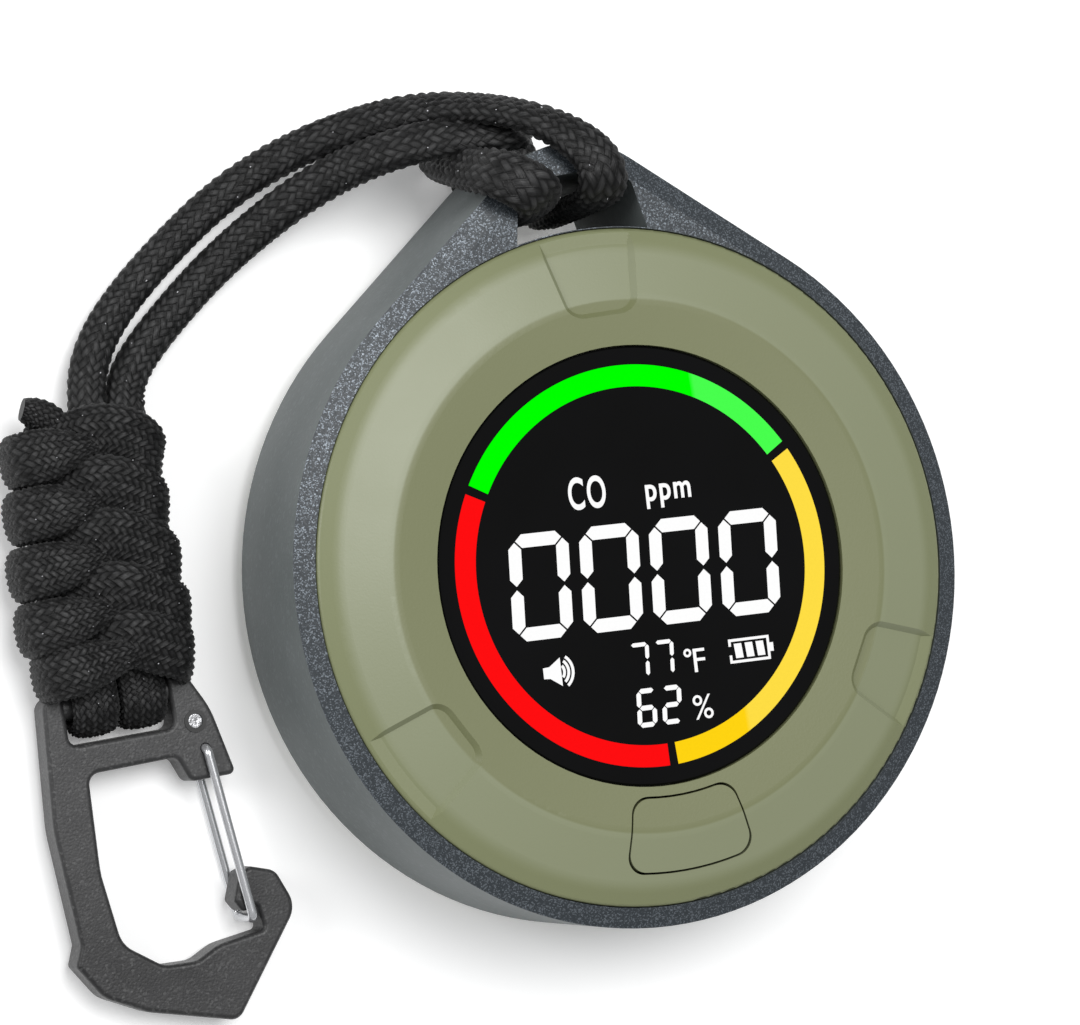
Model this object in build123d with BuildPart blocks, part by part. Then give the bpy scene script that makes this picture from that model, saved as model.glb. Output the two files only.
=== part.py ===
"""Handheld carbon monoxide and carbon dioxide monitor with its lanyard and carabiner.

Millimetres, +Z up. The monitor lies on its back, display up. The origin is the centre of
the flat magnet pad on the back. +Y points to the lanyard loop, +X to the right of the
display. The lanyard and the carabiner lie on the same surface, on the -X side.
"""

import os
from math import pi, radians, tan

from build123d import *

# Frame: a round wall that runs out into the lanyard loop.
FRAME_R = 37.0
LOOP_R = 11.2
LOOP_Y = 32.9
WALL_BOTTOM = 3.6
WALL_TOP = 20.0
BEVEL_W = 2.2
BEVEL_H = 0.7
BORE_R = 33.4
COVER_R = 34.8
REBATE_GAP = 0.1
BACK_REBATE = 1.2

# Lanyard slot.
SLOT_TOP_Y = 40.8
SLOT_TOP_HALF = 6.2
SLOT_LOW_HALF = 7.6
SLOT_LOW_R = 35.0
SLOT_CORNER = 2.2
SLOT_CROWN = 0.7

# Front cover, as radius and height pairs along its outer face.
EDGE_Z = 20.7
SHOULDER = (32.8, 21.6)
CREASE = (27.3, 22.6)
BAND_Z = 22.3
SHELL = 1.5
FLANGE_BOTTOM = 19.3
SKIRT_R = 33.2
SKIRT_WALL = 1.4
SKIRT_BOTTOM = 14.0

# Display stack.
LENS_R = 22.5
LENS_TOP = 22.0
LENS_T = 1.2
TAPE_T = 0.2
WINDOW_R = 20.8
SHELF_T = 1.2
PANEL_R = 20.5
PANEL_TOP = 20.6
PANEL_T = 2.2
LIGHT_R = 21.4
LIGHT_T = 2.8

# Three finger pockets in the front cover, the first toward the loop. They widen outward and
# their walls lean, so the outline is the one at the height of the pocket's foot at the rim.
POCKET_OUTER_HALF = 6.1
POCKET_INNER_HALF = 2.5
POCKET_INNER_R = 27.2
POCKET_CORNER = 0.8
POCKET_DEPTH = 0.6
POCKET_SLOPE = 42
POCKET_Z = 20.9

# Button, a sector of the ring round the display.
BUTTON_R_IN = 23.8
BUTTON_R_OUT = 31.3
BUTTON_HALF_ANGLE = 13.2
BUTTON_CORNER = 1.9
BUTTON_GAP = 0.22
BUTTON_LIP = 0.8
BUTTON_LIP_Z = 19.0
BUTTON_Y = -27.6
STEM_R = 1.6

# Circuit board and what it carries.
BOARD_BOTTOM = 11.6
BOARD_T = 1.2
BOARD_TOP = BOARD_BOTTOM + BOARD_T
BOARD_R = 30.4
POST_R = 26.5
POST_ANGLES = (30, 150, 300)
POST_OUTER_R = 2.0
POST_PILOT_R = 0.8
BOARD_HEAD_R = 1.6
BOARD_HEAD_T = 1.1
BOARD_SHANK_R = 0.75
BOARD_THREAD = 5.0
SWITCH_W = 4.6
SWITCH_T = 3.1
SWITCH_STEM_R = 1.2
SWITCH_STEM_TOP = 16.65
SWITCH_TRAVEL_WELL = 1.8
CO_SENSOR = (-23.2, 3.0)
CO_SENSOR_R = 6.0
CO_SENSOR_H = 7.0
CO2_SENSOR = (23.0, 3.5)
CO2_SENSOR_W = 10.1
CO2_SENSOR_H = 6.5
CO2_WINDOW_W = 5.0
CLIMATE_SENSOR = (22.0, -10.0)
CLIMATE_SENSOR_W = 3.0
CLIMATE_SENSOR_H = 1.1
BUZZER = (-17.0, -19.2)
BUZZER_R = 4.8
BUZZER_H = 5.0
# Chips on the board's upper face: centre x and y, width, depth and height. The last is the
# socket that the display's ribbon ends in.
CHIPS = ((0, 2, 7, 7, 0.9), (10, 4, 5, 4, 0.8), (-11, 0, 4, 5, 1.0), (-6, -12, 3, 3, 0.8),
         (8, -10, 6, 3, 1.2), (0, 16.4, 13, 3.2, 1.1))

# Back cover, its screws, vents and magnet pad.
PAD_R = 15.6
PAD_FOOT_R = 17.8
BACK_Z = 0.9
BACK_FLAT_R = 28.6
BACK_EDGE_Z = 3.5
FLOOR_Z = 2.5
SCREW_R = 30.8
SCREW_START = 90
SCREW_HEAD_R = 1.9
SCREW_HEAD_T = 1.4
SCREW_SHANK_R = 1.0
SCREW_CLEAR = 0.15
SCREW_THREAD = 10.0
BOSS_R = 2.45
BOSS_JOIN_Z = 6.3
BOSS_GAP = 0.2
BOSS_TOP = 20.3
BOSS_PILOT = 8.7
VENT_W = 1.45
VENT_R = (26.4, 32.2)
VENTS_UPPER = [16.7 + 8.3 * i for i in range(12)]
VENTS_LOWER = [131.5, 139.0]
VENTS_EXTRA = [150.0, 155.5]
VENT_DEPTH = 4.7
MESH_R_IN = 24.8
MESH_T = 0.2
MAGNET_R = 13.0
MAGNET_T = 2.0
MAGNET_Z = 1.0
PLATE_T = 0.8
USB_Y = -28.5
USB_W = 8.94
USB_H = 3.26
USB_WALL = 0.3
USB_RECESS = (14.8, 8.5)
USB_RECESS_CORNER = 3.6
USB_FLOOR = (17.0, 9.0)
USB_TONGUE = (6.7, 0.7)
USB_BLOCK_H = 3.5

# Battery.
BATTERY = (32.0, 24.0, 5.4)
BATTERY_TAPE_T = 0.3
BATTERY_TAPE_W = 18.0
LEAD_R = 0.5
LEAD_X = 0.9
CONNECTOR = (6.0, 4.5, 3.2)
CONNECTOR_Y = 22.25

# Lanyard: the braid lies flat, 4.1 wide and 2.5 thick. Its plain solid is a round tube.
CORD_D = 3.0
BAR_TURN_R = 3.2
SHARP_TURN = radians(60)
KNOT_T = 9.4
KNOT_ROUND = 2.6

# Carabiner, a moulded frame that lies flat, with a wire gate on both its faces.
BODY_Z = 1.05
BODY_T = 4.0
BODY_ROUND = 0.5
BAR_Y = -4.5
BAR_Z = 3.4
BAR_R = 1.3
EYE_R_IN = 1.6
EYE_R_OUT = 3.35
EYE_X = (-57.3, -47.1)
KNOT_END_Y = -2.0
WIRE_D = 0.95
GATE_PIVOT = (-43.9, -11.0)
GATE_END = (-42.0, -28.9)
RIVET = (-44.5, -8.1)
RIVET_R = 0.9
GATE_TANG = 1.6
STRAP_SLOT_X = -52.25
STRAP_SLOT_W = 11.1


def frame_outline(inset):
    """The teardrop outline of the frame, set in from its wall."""
    with BuildSketch() as outline:
        Circle(FRAME_R - inset)
        with Locations((0, LOOP_Y)):
            Circle(LOOP_R - inset)
        make_hull()
    return outline.sketch


def loop_slot():
    """The opening under the loop's bar, with a round-cornered top."""
    corner_y = SLOT_TOP_Y - SLOT_CROWN
    low_y = SLOT_LOW_R - 2
    with BuildSketch() as outline:
        with BuildLine():
            Polyline((-SLOT_TOP_HALF, corner_y), (-SLOT_LOW_HALF, low_y), (SLOT_LOW_HALF, low_y),
                     (SLOT_TOP_HALF, corner_y))
            ThreePointArc((-SLOT_TOP_HALF, corner_y), (0, SLOT_TOP_Y), (SLOT_TOP_HALF, corner_y))
        make_face()
        fillet(outline.vertices().group_by(Axis.Y)[-1], SLOT_CORNER)
        Circle(SLOT_LOW_R, mode=Mode.SUBTRACT)
    return outline.sketch


def pocket_outline():
    """One pocket's trapezoid, pointing along +X, with its two inner corners rounded."""
    with BuildSketch() as outline:
        Polygon((POCKET_INNER_R, -POCKET_INNER_HALF), (COVER_R + 2, -POCKET_OUTER_HALF),
                (COVER_R + 2, POCKET_OUTER_HALF), (POCKET_INNER_R, POCKET_INNER_HALF), align=None)
        fillet(outline.vertices().group_by(Axis.X)[0], POCKET_CORNER)
    return outline.sketch


def button_outline(grow):
    """The button's sector, grown on every side, with round corners."""
    half = BUTTON_HALF_ANGLE + grow / radians(BUTTON_R_OUT)
    r_in = BUTTON_R_IN - grow
    r_out = BUTTON_R_OUT + grow
    with BuildSketch() as outline:
        with BuildLine():
            inner = CenterArc((0, 0), r_in, -90 - half, 2 * half)
            outer = CenterArc((0, 0), r_out, -90 - half, 2 * half)
            Line(inner @ 0, outer @ 0)
            Line(inner @ 1, outer @ 1)
        make_face()
        fillet(outline.vertices(), BUTTON_CORNER)
    return outline.sketch


def cord_tube(points, tight):
    """A round tube along straight runs joined by arcs as large as the runs allow.

    A sharp turn is a turn round the loop's bar, and has the given tight radius at most.
    """
    points = [Vector(*p) for p in points]
    runs = [b - a for a, b in zip(points, points[1:])]
    turns = [radians(a.get_angle(b)) for a, b in zip(runs, runs[1:])]
    radii = [0.45 * min(a.length, b.length) / tan(turn / 2) for a, b, turn in zip(runs, runs[1:], turns)]
    radii = [min(r, tight) if turn > SHARP_TURN else r for r, turn in zip(radii, turns)]
    with BuildPart() as tube:
        with BuildLine():
            route = FilletPolyline(*points, radius=radii)
        with BuildSketch(Plane(origin=points[0], z_dir=runs[0])):
            Circle(CORD_D / 2)
        sweep()
    expected = route.length * pi * CORD_D**2 / 4
    print("cord", round(route.length, 1), "mm, volume ratio", round(tube.part.volume / expected, 4),
          "radii", [round(r, 1) for r in radii])
    return tube.part


def vent_angles():
    """Turns of the vents from the loop, positive toward -X; the longer row is on that side."""
    both = VENTS_UPPER + VENTS_LOWER
    return both + VENTS_EXTRA + [-turn for turn in both]


def save(part, name):
    """Labels a finished piece and writes it as one STEP file."""
    part.label = name
    export_step(part, f"parts/{name}.step")


os.makedirs("parts", exist_ok=True)

# ---------------------------------------------------------------- frame

with BuildPart() as mid_frame:
    with BuildSketch(Plane.XY.offset(WALL_BOTTOM)):
        add(frame_outline(0))
    extrude(amount=WALL_TOP - WALL_BOTTOM)
    with BuildSketch(Plane.XY.offset(WALL_TOP)):
        add(frame_outline(0))
    with BuildSketch(Plane.XY.offset(WALL_TOP + BEVEL_H)):
        add(frame_outline(BEVEL_W))
    loft(ruled=True)
    with BuildSketch(Plane.XY.offset(WALL_BOTTOM)):
        Circle(BORE_R)
    extrude(amount=WALL_TOP, mode=Mode.SUBTRACT)
    with BuildSketch(Plane.XY.offset(FLANGE_BOTTOM)):
        Circle(COVER_R + REBATE_GAP)
    extrude(amount=BEVEL_H + 1, mode=Mode.SUBTRACT)
    with BuildSketch(Plane.XY.offset(WALL_BOTTOM)):
        Circle(COVER_R + REBATE_GAP)
    extrude(amount=BACK_REBATE, mode=Mode.SUBTRACT)
    with BuildSketch():
        add(loop_slot())
    extrude(amount=WALL_TOP + 2, mode=Mode.SUBTRACT)

# ---------------------------------------------------------------- front cover

with BuildPart() as cover_skin:
    with BuildSketch(Plane.XZ):
        with BuildLine():
            FilletPolyline((0, SKIRT_BOTTOM), (COVER_R, SKIRT_BOTTOM), (COVER_R, EDGE_Z), SHOULDER, CREASE,
                           (LENS_R + REBATE_GAP, BAND_Z), (0, BAND_Z), radius=[0, 0, 0.5, 5, 5, 0, 0], close=True)
        make_face()
    revolve(axis=Axis.Z)

with BuildPart() as pocket_cut:
    with BuildSketch(Plane.XY.offset(POCKET_Z)):
        with PolarLocations(0, 3, start_angle=90):
            add(pocket_outline())
    extrude(amount=CREASE[1] + 0.5 - POCKET_Z, taper=-POCKET_SLOPE)
    with BuildSketch(Plane.XZ):
        Polygon((20, BAND_Z - POCKET_DEPTH), (CREASE[0], CREASE[1] - POCKET_DEPTH),
                (SHOULDER[0], SHOULDER[1] - POCKET_DEPTH), (COVER_R + 1, EDGE_Z - POCKET_DEPTH),
                (COVER_R + 1, BAND_Z + 2), (20, BAND_Z + 2), align=None)
    revolve(axis=Axis.Z, mode=Mode.INTERSECT)

with BuildPart() as front_cover:
    add(cover_skin.part)
    with BuildSketch(Plane.XZ):
        Polygon((0, 0), (COVER_R + 1, 0), (COVER_R + 1, FLANGE_BOTTOM), (SKIRT_R, FLANGE_BOTTOM),
                (SKIRT_R, SKIRT_BOTTOM), (SKIRT_R - SKIRT_WALL, SKIRT_BOTTOM),
                (SKIRT_R - SKIRT_WALL, FLANGE_BOTTOM + 0.6), (CREASE[0], CREASE[1] - SHELL),
                (LENS_R + 1.8, BAND_Z - SHELL), (LENS_R + 1.8, LENS_TOP - LENS_T - TAPE_T - SHELF_T),
                (WINDOW_R, LENS_TOP - LENS_T - TAPE_T - SHELF_T), (WINDOW_R, LENS_TOP - LENS_T - TAPE_T),
                (LENS_R + REBATE_GAP, LENS_TOP - LENS_T - TAPE_T), (LENS_R + REBATE_GAP, BAND_Z + 1),
                (0, BAND_Z + 1), align=None)
    revolve(axis=Axis.Z, mode=Mode.SUBTRACT)
    add(pocket_cut.part, mode=Mode.SUBTRACT)
    with BuildSketch(Plane.XY.offset(SKIRT_BOTTOM)):
        add(button_outline(BUTTON_GAP))
    extrude(amount=10, mode=Mode.SUBTRACT)
    with BuildSketch(Plane.XY.offset(BOARD_TOP)):
        for angle in POST_ANGLES:
            with PolarLocations(POST_R, 1, start_angle=angle):
                Circle(POST_OUTER_R)
    extrude(amount=CREASE[1] - SHELL - BOARD_TOP)
    with BuildSketch(Plane.XY.offset(BOSS_JOIN_Z)):
        with PolarLocations(SCREW_R, 3, start_angle=SCREW_START):
            Circle(BOSS_R)
    extrude(amount=BOSS_TOP - BOSS_JOIN_Z)
    with BuildSketch(Plane.XY.offset(BOSS_JOIN_Z)):
        with PolarLocations(SCREW_R, 3, start_angle=SCREW_START):
            Circle(SCREW_SHANK_R + 0.05)
    extrude(amount=BOSS_PILOT, mode=Mode.SUBTRACT)
    with BuildSketch(Plane.XY.offset(BOARD_TOP)):
        for angle in POST_ANGLES:
            with PolarLocations(POST_R, 1, start_angle=angle):
                Circle(POST_PILOT_R)
    extrude(amount=BOARD_THREAD, mode=Mode.SUBTRACT)

# ---------------------------------------------------------------- display stack

with BuildPart() as display_lens:
    with BuildSketch(Plane.XY.offset(LENS_TOP - LENS_T)):
        Circle(LENS_R)
    extrude(amount=LENS_T)
    chamfer(display_lens.faces().sort_by(Axis.Z)[-1].edges(), 0.2)

with BuildPart() as lens_adhesive:
    with BuildSketch(Plane.XY.offset(LENS_TOP - LENS_T - TAPE_T)):
        Circle(LENS_R - 0.1)
        Circle(WINDOW_R + 0.2, mode=Mode.SUBTRACT)
    extrude(amount=TAPE_T)

with BuildPart() as display_panel:
    with BuildSketch(Plane.XY.offset(PANEL_TOP - PANEL_T)):
        Circle(PANEL_R)
    extrude(amount=PANEL_T)

with BuildPart() as display_backlight:
    with BuildSketch(Plane.XY.offset(PANEL_TOP - PANEL_T - LIGHT_T)):
        Circle(LIGHT_R)
    extrude(amount=LIGHT_T)

with BuildPart() as display_ribbon:
    with BuildSketch(Plane.YZ):
        with BuildLine():
            FilletPolyline((PANEL_R, 19.1), (22.7, 19.1), (22.7, 13.9), (18.0, 13.9), radius=0.8)
        trace(line_width=0.3)
    extrude(amount=6, both=True)

# ---------------------------------------------------------------- button and switch

with BuildPart() as button_cap:
    with BuildSketch(Plane.XY.offset(BUTTON_LIP_Z)):
        add(button_outline(0))
    extrude(amount=CREASE[1] - BUTTON_LIP_Z)
    add(cover_skin.part, mode=Mode.INTERSECT)
    with BuildSketch(Plane.XY.offset(BUTTON_LIP_Z)):
        add(button_outline(BUTTON_LIP))
        Circle(BUTTON_R_OUT - 0.1, mode=Mode.INTERSECT)
        Circle(LENS_R + 2, mode=Mode.SUBTRACT)
    extrude(amount=0.8)
    with BuildSketch(Plane.XY.offset(SWITCH_STEM_TOP + 0.05)):
        with Locations((0, BUTTON_Y)):
            Circle(STEM_R)
    extrude(amount=3)

with BuildPart() as tact_switch:
    with BuildSketch(Plane.XY.offset(BOARD_TOP)):
        with Locations((0, BUTTON_Y)):
            RectangleRounded(SWITCH_W, SWITCH_W, 0.5)
    extrude(amount=SWITCH_T)
    with Locations((0, BUTTON_Y, BOARD_TOP + SWITCH_T)):
        Hole(SWITCH_STEM_R + 0.1, depth=SWITCH_T - 1)

with BuildPart() as tact_switch_stem:
    with BuildSketch(Plane.XY.offset(BOARD_TOP + SWITCH_TRAVEL_WELL)):
        with Locations((0, BUTTON_Y)):
            Circle(SWITCH_STEM_R)
    extrude(amount=SWITCH_STEM_TOP - BOARD_TOP - SWITCH_TRAVEL_WELL)
    chamfer(tact_switch_stem.faces().sort_by(Axis.Z)[-1].edges(), 0.2)

# ---------------------------------------------------------------- board and sensors

with BuildPart() as main_board:
    with BuildSketch(Plane.XY.offset(BOARD_BOTTOM)):
        Circle(BOARD_R)
        with PolarLocations(SCREW_R, 3, start_angle=SCREW_START):
            Circle(BOSS_R + 0.5, mode=Mode.SUBTRACT)
        for angle in POST_ANGLES:
            with PolarLocations(POST_R, 1, start_angle=angle):
                Circle(POST_PILOT_R + 0.1, mode=Mode.SUBTRACT)
    extrude(amount=BOARD_T)

with BuildPart() as board_chips:
    for x, y, w, d, h in CHIPS:
        with BuildSketch(Plane.XY.offset(BOARD_TOP)):
            with Locations((x, y)):
                Rectangle(w, d)
        extrude(amount=h)

with BuildPart() as board_screws:
    with BuildSketch(Plane.XY.offset(BOARD_BOTTOM - BOARD_HEAD_T)):
        for angle in POST_ANGLES:
            with PolarLocations(POST_R, 1, start_angle=angle):
                Circle(BOARD_HEAD_R)
    extrude(amount=BOARD_HEAD_T)
    with BuildSketch(Plane.XY.offset(BOARD_BOTTOM)):
        for angle in POST_ANGLES:
            with PolarLocations(POST_R, 1, start_angle=angle):
                Circle(BOARD_SHANK_R)
    extrude(amount=BOARD_THREAD)
    with BuildSketch(Plane.XY.offset(BOARD_BOTTOM - BOARD_HEAD_T)):
        for angle in POST_ANGLES:
            with PolarLocations(POST_R, 1, start_angle=angle):
                Rectangle(1.8, 0.4)
                Rectangle(0.4, 1.8)
    extrude(amount=0.5, mode=Mode.SUBTRACT)

with BuildPart() as co_sensor:
    with BuildSketch(Plane.XY.offset(BOARD_BOTTOM - CO_SENSOR_H)):
        with Locations(CO_SENSOR):
            Circle(CO_SENSOR_R)
    extrude(amount=CO_SENSOR_H)
    with Locations(Plane(origin=(*CO_SENSOR, BOARD_BOTTOM - CO_SENSOR_H), z_dir=(0, 0, -1))):
        Hole(1.2, depth=1.5)
    fillet(co_sensor.edges().filter_by(GeomType.CIRCLE).sort_by(Axis.Z)[0:2].sort_by(SortBy.RADIUS)[-1], 0.5)

with BuildPart() as co2_sensor:
    with BuildSketch(Plane.XY.offset(BOARD_BOTTOM - CO2_SENSOR_H)):
        with Locations(CO2_SENSOR):
            RectangleRounded(CO2_SENSOR_W, CO2_SENSOR_W, 0.6)
    extrude(amount=CO2_SENSOR_H)
    with BuildSketch(Plane.XY.offset(BOARD_BOTTOM - CO2_SENSOR_H)):
        with Locations(CO2_SENSOR):
            RectangleRounded(CO2_WINDOW_W, CO2_WINDOW_W, 0.5)
    extrude(amount=0.5, mode=Mode.SUBTRACT)

with BuildPart() as climate_sensor:
    with BuildSketch(Plane.XY.offset(BOARD_BOTTOM - CLIMATE_SENSOR_H)):
        with Locations(CLIMATE_SENSOR):
            Rectangle(CLIMATE_SENSOR_W, CLIMATE_SENSOR_W)
            Circle(0.5, mode=Mode.SUBTRACT)
    extrude(amount=CLIMATE_SENSOR_H)

with BuildPart() as buzzer:
    with BuildSketch(Plane.XY.offset(BOARD_BOTTOM - BUZZER_H)):
        with Locations(BUZZER):
            Circle(BUZZER_R)
    extrude(amount=BUZZER_H)
    with Locations(Plane(origin=(*BUZZER, BOARD_BOTTOM - BUZZER_H), z_dir=(0, 0, -1))):
        Hole(1.0, depth=2)

with BuildPart() as usb_socket:
    with BuildSketch(Plane.XY.offset(FLOOR_Z - 0.4)):
        with Locations((0, USB_Y)):
            RectangleRounded(USB_W, USB_H, USB_H / 2 - 0.02)
            RectangleRounded(USB_W - 2 * USB_WALL, USB_H - 2 * USB_WALL, USB_H / 2 - USB_WALL - 0.02,
                             mode=Mode.SUBTRACT)
    extrude(amount=BOARD_BOTTOM - FLOOR_Z + 0.4)

with BuildPart() as usb_tongue:
    with BuildSketch(Plane.XY.offset(FLOOR_Z + 0.8)):
        with Locations((0, USB_Y)):
            Rectangle(*USB_TONGUE)
    extrude(amount=BOARD_BOTTOM - FLOOR_Z - 0.8)
    with BuildSketch(Plane.XY.offset(BOARD_BOTTOM - USB_BLOCK_H)):
        with Locations((0, USB_Y)):
            RectangleRounded(USB_W - 2 * USB_WALL, USB_H - 2 * USB_WALL, USB_H / 2 - USB_WALL - 0.02)
    extrude(amount=USB_BLOCK_H)

# ---------------------------------------------------------------- power and magnet

PLATE_TOP = MAGNET_Z + MAGNET_T + PLATE_T

with BuildPart() as magnet:
    with BuildSketch(Plane.XY.offset(MAGNET_Z)):
        Circle(MAGNET_R)
    extrude(amount=MAGNET_T)

with BuildPart() as magnet_plate:
    with BuildSketch(Plane.XY.offset(MAGNET_Z + MAGNET_T)):
        Circle(MAGNET_R)
    extrude(amount=PLATE_T)

with BuildPart() as battery_tape:
    with BuildSketch(Plane.XY.offset(PLATE_TOP)):
        RectangleRounded(BATTERY_TAPE_W, BATTERY_TAPE_W, 1)
    extrude(amount=BATTERY_TAPE_T)

with BuildPart() as battery:
    with BuildSketch(Plane.XY.offset(PLATE_TOP + BATTERY_TAPE_T)):
        RectangleRounded(BATTERY[0], BATTERY[1], 1.5)
    extrude(amount=BATTERY[2])
    fillet(battery.edges().filter_by(Axis.Z, reverse=True), 0.8)

LEAD_Z = PLATE_TOP + BATTERY_TAPE_T + BATTERY[2] / 2
CONNECTOR_MID_Z = BOARD_BOTTOM - CONNECTOR[2] / 2
with BuildPart() as battery_leads:
    for x in (-LEAD_X, LEAD_X):
        with BuildLine():
            lead = FilletPolyline((x, BATTERY[1] / 2, LEAD_Z), (x, 16, LEAD_Z), (x, 18, CONNECTOR_MID_Z),
                                  (x, CONNECTOR_Y - CONNECTOR[1] / 2, CONNECTOR_MID_Z), radius=0.8)
        with BuildSketch(Plane(origin=lead @ 0, z_dir=lead % 0)):
            Circle(LEAD_R)
        sweep()

with BuildPart() as battery_connector:
    with BuildSketch(Plane.XY.offset(BOARD_BOTTOM - CONNECTOR[2])):
        with Locations((0, CONNECTOR_Y)):
            Rectangle(CONNECTOR[0], CONNECTOR[1])
    extrude(amount=CONNECTOR[2])

# ---------------------------------------------------------------- back cover

with BuildPart() as back_cover:
    with BuildSketch(Plane.XZ):
        Polygon((0, 0), (PAD_R, 0), (PAD_FOOT_R, BACK_Z), (BACK_FLAT_R, BACK_Z), (COVER_R, BACK_EDGE_Z),
                (COVER_R, WALL_BOTTOM + BACK_REBATE), (SKIRT_R, WALL_BOTTOM + BACK_REBATE), (SKIRT_R, BOSS_JOIN_Z - BOSS_GAP),
                (SKIRT_R - SKIRT_WALL, BOSS_JOIN_Z - BOSS_GAP),
                (SKIRT_R - SKIRT_WALL, WALL_BOTTOM + BACK_REBATE), (BACK_FLAT_R, FLOOR_Z), (MAGNET_R + 0.2, FLOOR_Z),
                (MAGNET_R + 0.2, MAGNET_Z), (0, MAGNET_Z), align=None)
    revolve(axis=Axis.Z)
    with BuildSketch(Plane.XY.offset(FLOOR_Z - 0.5)):
        with Locations((0, USB_Y)):
            Rectangle(*USB_FLOOR)
    extrude(amount=1.5)
    with BuildSketch(Plane.XY.offset(FLOOR_Z)):
        with PolarLocations(SCREW_R, 3, start_angle=SCREW_START):
            Circle(BOSS_R)
    extrude(amount=BOSS_JOIN_Z - BOSS_GAP - FLOOR_Z)
    with BuildSketch():
        with Locations((0, USB_Y)):
            RectangleRounded(*USB_RECESS, USB_RECESS_CORNER)
    extrude(amount=FLOOR_Z - 0.5, mode=Mode.SUBTRACT)
    with BuildSketch():
        with Locations((0, USB_Y)):
            RectangleRounded(USB_W + 0.2, USB_H + 0.2, USB_H / 2)
    extrude(amount=8, mode=Mode.SUBTRACT)
    with BuildSketch():
        with PolarLocations(SCREW_R, 3, start_angle=SCREW_START):
            Circle(SCREW_HEAD_R + SCREW_CLEAR)
    extrude(amount=WALL_BOTTOM, mode=Mode.SUBTRACT)
    with BuildSketch():
        with PolarLocations(SCREW_R, 3, start_angle=SCREW_START):
            Circle(SCREW_SHANK_R + SCREW_CLEAR)
    extrude(amount=8, mode=Mode.SUBTRACT)
    with BuildSketch():
        for turn in vent_angles():
            with PolarLocations(sum(VENT_R) / 2, 1, start_angle=90 + turn):
                SlotOverall(VENT_R[1] - VENT_R[0] + VENT_W, VENT_W)
    extrude(amount=VENT_DEPTH, mode=Mode.SUBTRACT)

with BuildPart() as vent_mesh:
    with BuildSketch(Plane.XY.offset(FLOOR_Z)):
        Circle(BACK_FLAT_R - 0.3)
        Circle(MESH_R_IN, mode=Mode.SUBTRACT)
        with Locations((0, USB_Y)):
            Rectangle(18.4, 14, mode=Mode.SUBTRACT)
        with PolarLocations(SCREW_R, 3, start_angle=SCREW_START):
            Circle(BOSS_R + 0.3, mode=Mode.SUBTRACT)
    extrude(amount=MESH_T)

with BuildPart() as case_screws:
    with BuildSketch(Plane.XY.offset(WALL_BOTTOM - SCREW_HEAD_T)):
        with PolarLocations(SCREW_R, 3, start_angle=SCREW_START):
            Circle(SCREW_HEAD_R)
    extrude(amount=SCREW_HEAD_T)
    with BuildSketch(Plane.XY.offset(WALL_BOTTOM)):
        with PolarLocations(SCREW_R, 3, start_angle=SCREW_START):
            Circle(SCREW_SHANK_R)
    extrude(amount=SCREW_THREAD)
    with BuildSketch(Plane.XY.offset(WALL_BOTTOM - SCREW_HEAD_T)):
        with PolarLocations(SCREW_R, 3, start_angle=SCREW_START):
            Rectangle(2.3, 0.5)
            Rectangle(0.5, 2.3)
    extrude(amount=0.8, mode=Mode.SUBTRACT)

# ---------------------------------------------------------------- lanyard

OUTER_ROUTE = [(3.2, 38.0, 17.0), (3.2, 38.0, 22.8), (2.0, 43.4, 22.8), (-4.8, 49.8, 17.4),
               (-15.0, 51.2, 9.8), (-28.5, 46.8, 2.2), (-41.0, 37.6, 1.6), (-48.2, 30.6, 2.6),
               (-49.6, 23.0, 4.2)]
HITCH_ROUTE = [(3.2, 38.0, 17.0), (3.2, 38.0, 1.6), (2.4, 48.8, 1.6), (-7.6, 48.4, 1.6),
               (-10.2, 45.4, 8.5), (-9.8, 42.8, 17.5), (-8.6, 41.6, 23.0), (-4.3, 37.9, 22.9),
               (-4.3, 37.9, 1.6), (-3.2, 46.3, 1.6), (-3.7, 46.0, 9.4)]
INNER_ROUTE = [(-3.7, 46.0, 9.4), (-4.2, 45.7, 17.2), (-12.6, 47.4, 14.8), (-21.8, 46.0, 6.4),
               (-32.5, 40.2, 1.8), (-41.0, 32.4, 1.6), (-45.0, 27.4, 2.6), (-45.9, 23.0, 4.2)]

lanyard_strand_outer = cord_tube(OUTER_ROUTE, BAR_TURN_R)
lanyard_hitch = cord_tube(HITCH_ROUTE, BAR_TURN_R)
lanyard_strand_inner = cord_tube(INNER_ROUTE, BAR_TURN_R)

with BuildPart() as lanyard_knot:
    with BuildSketch():
        with BuildLine():
            FilletPolyline((-58.6, 24.0), (-60.8, 3.0), (-60.0, KNOT_END_Y), (-44.6, KNOT_END_Y), (-43.8, 3.0),
                           (-43.6, 24.0), radius=2.5, close=True)
        make_face()
    extrude(amount=KNOT_T)
    fillet(lanyard_knot.edges().group_by(Axis.Z)[0] + lanyard_knot.edges().group_by(Axis.Z)[-1], KNOT_ROUND)

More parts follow.
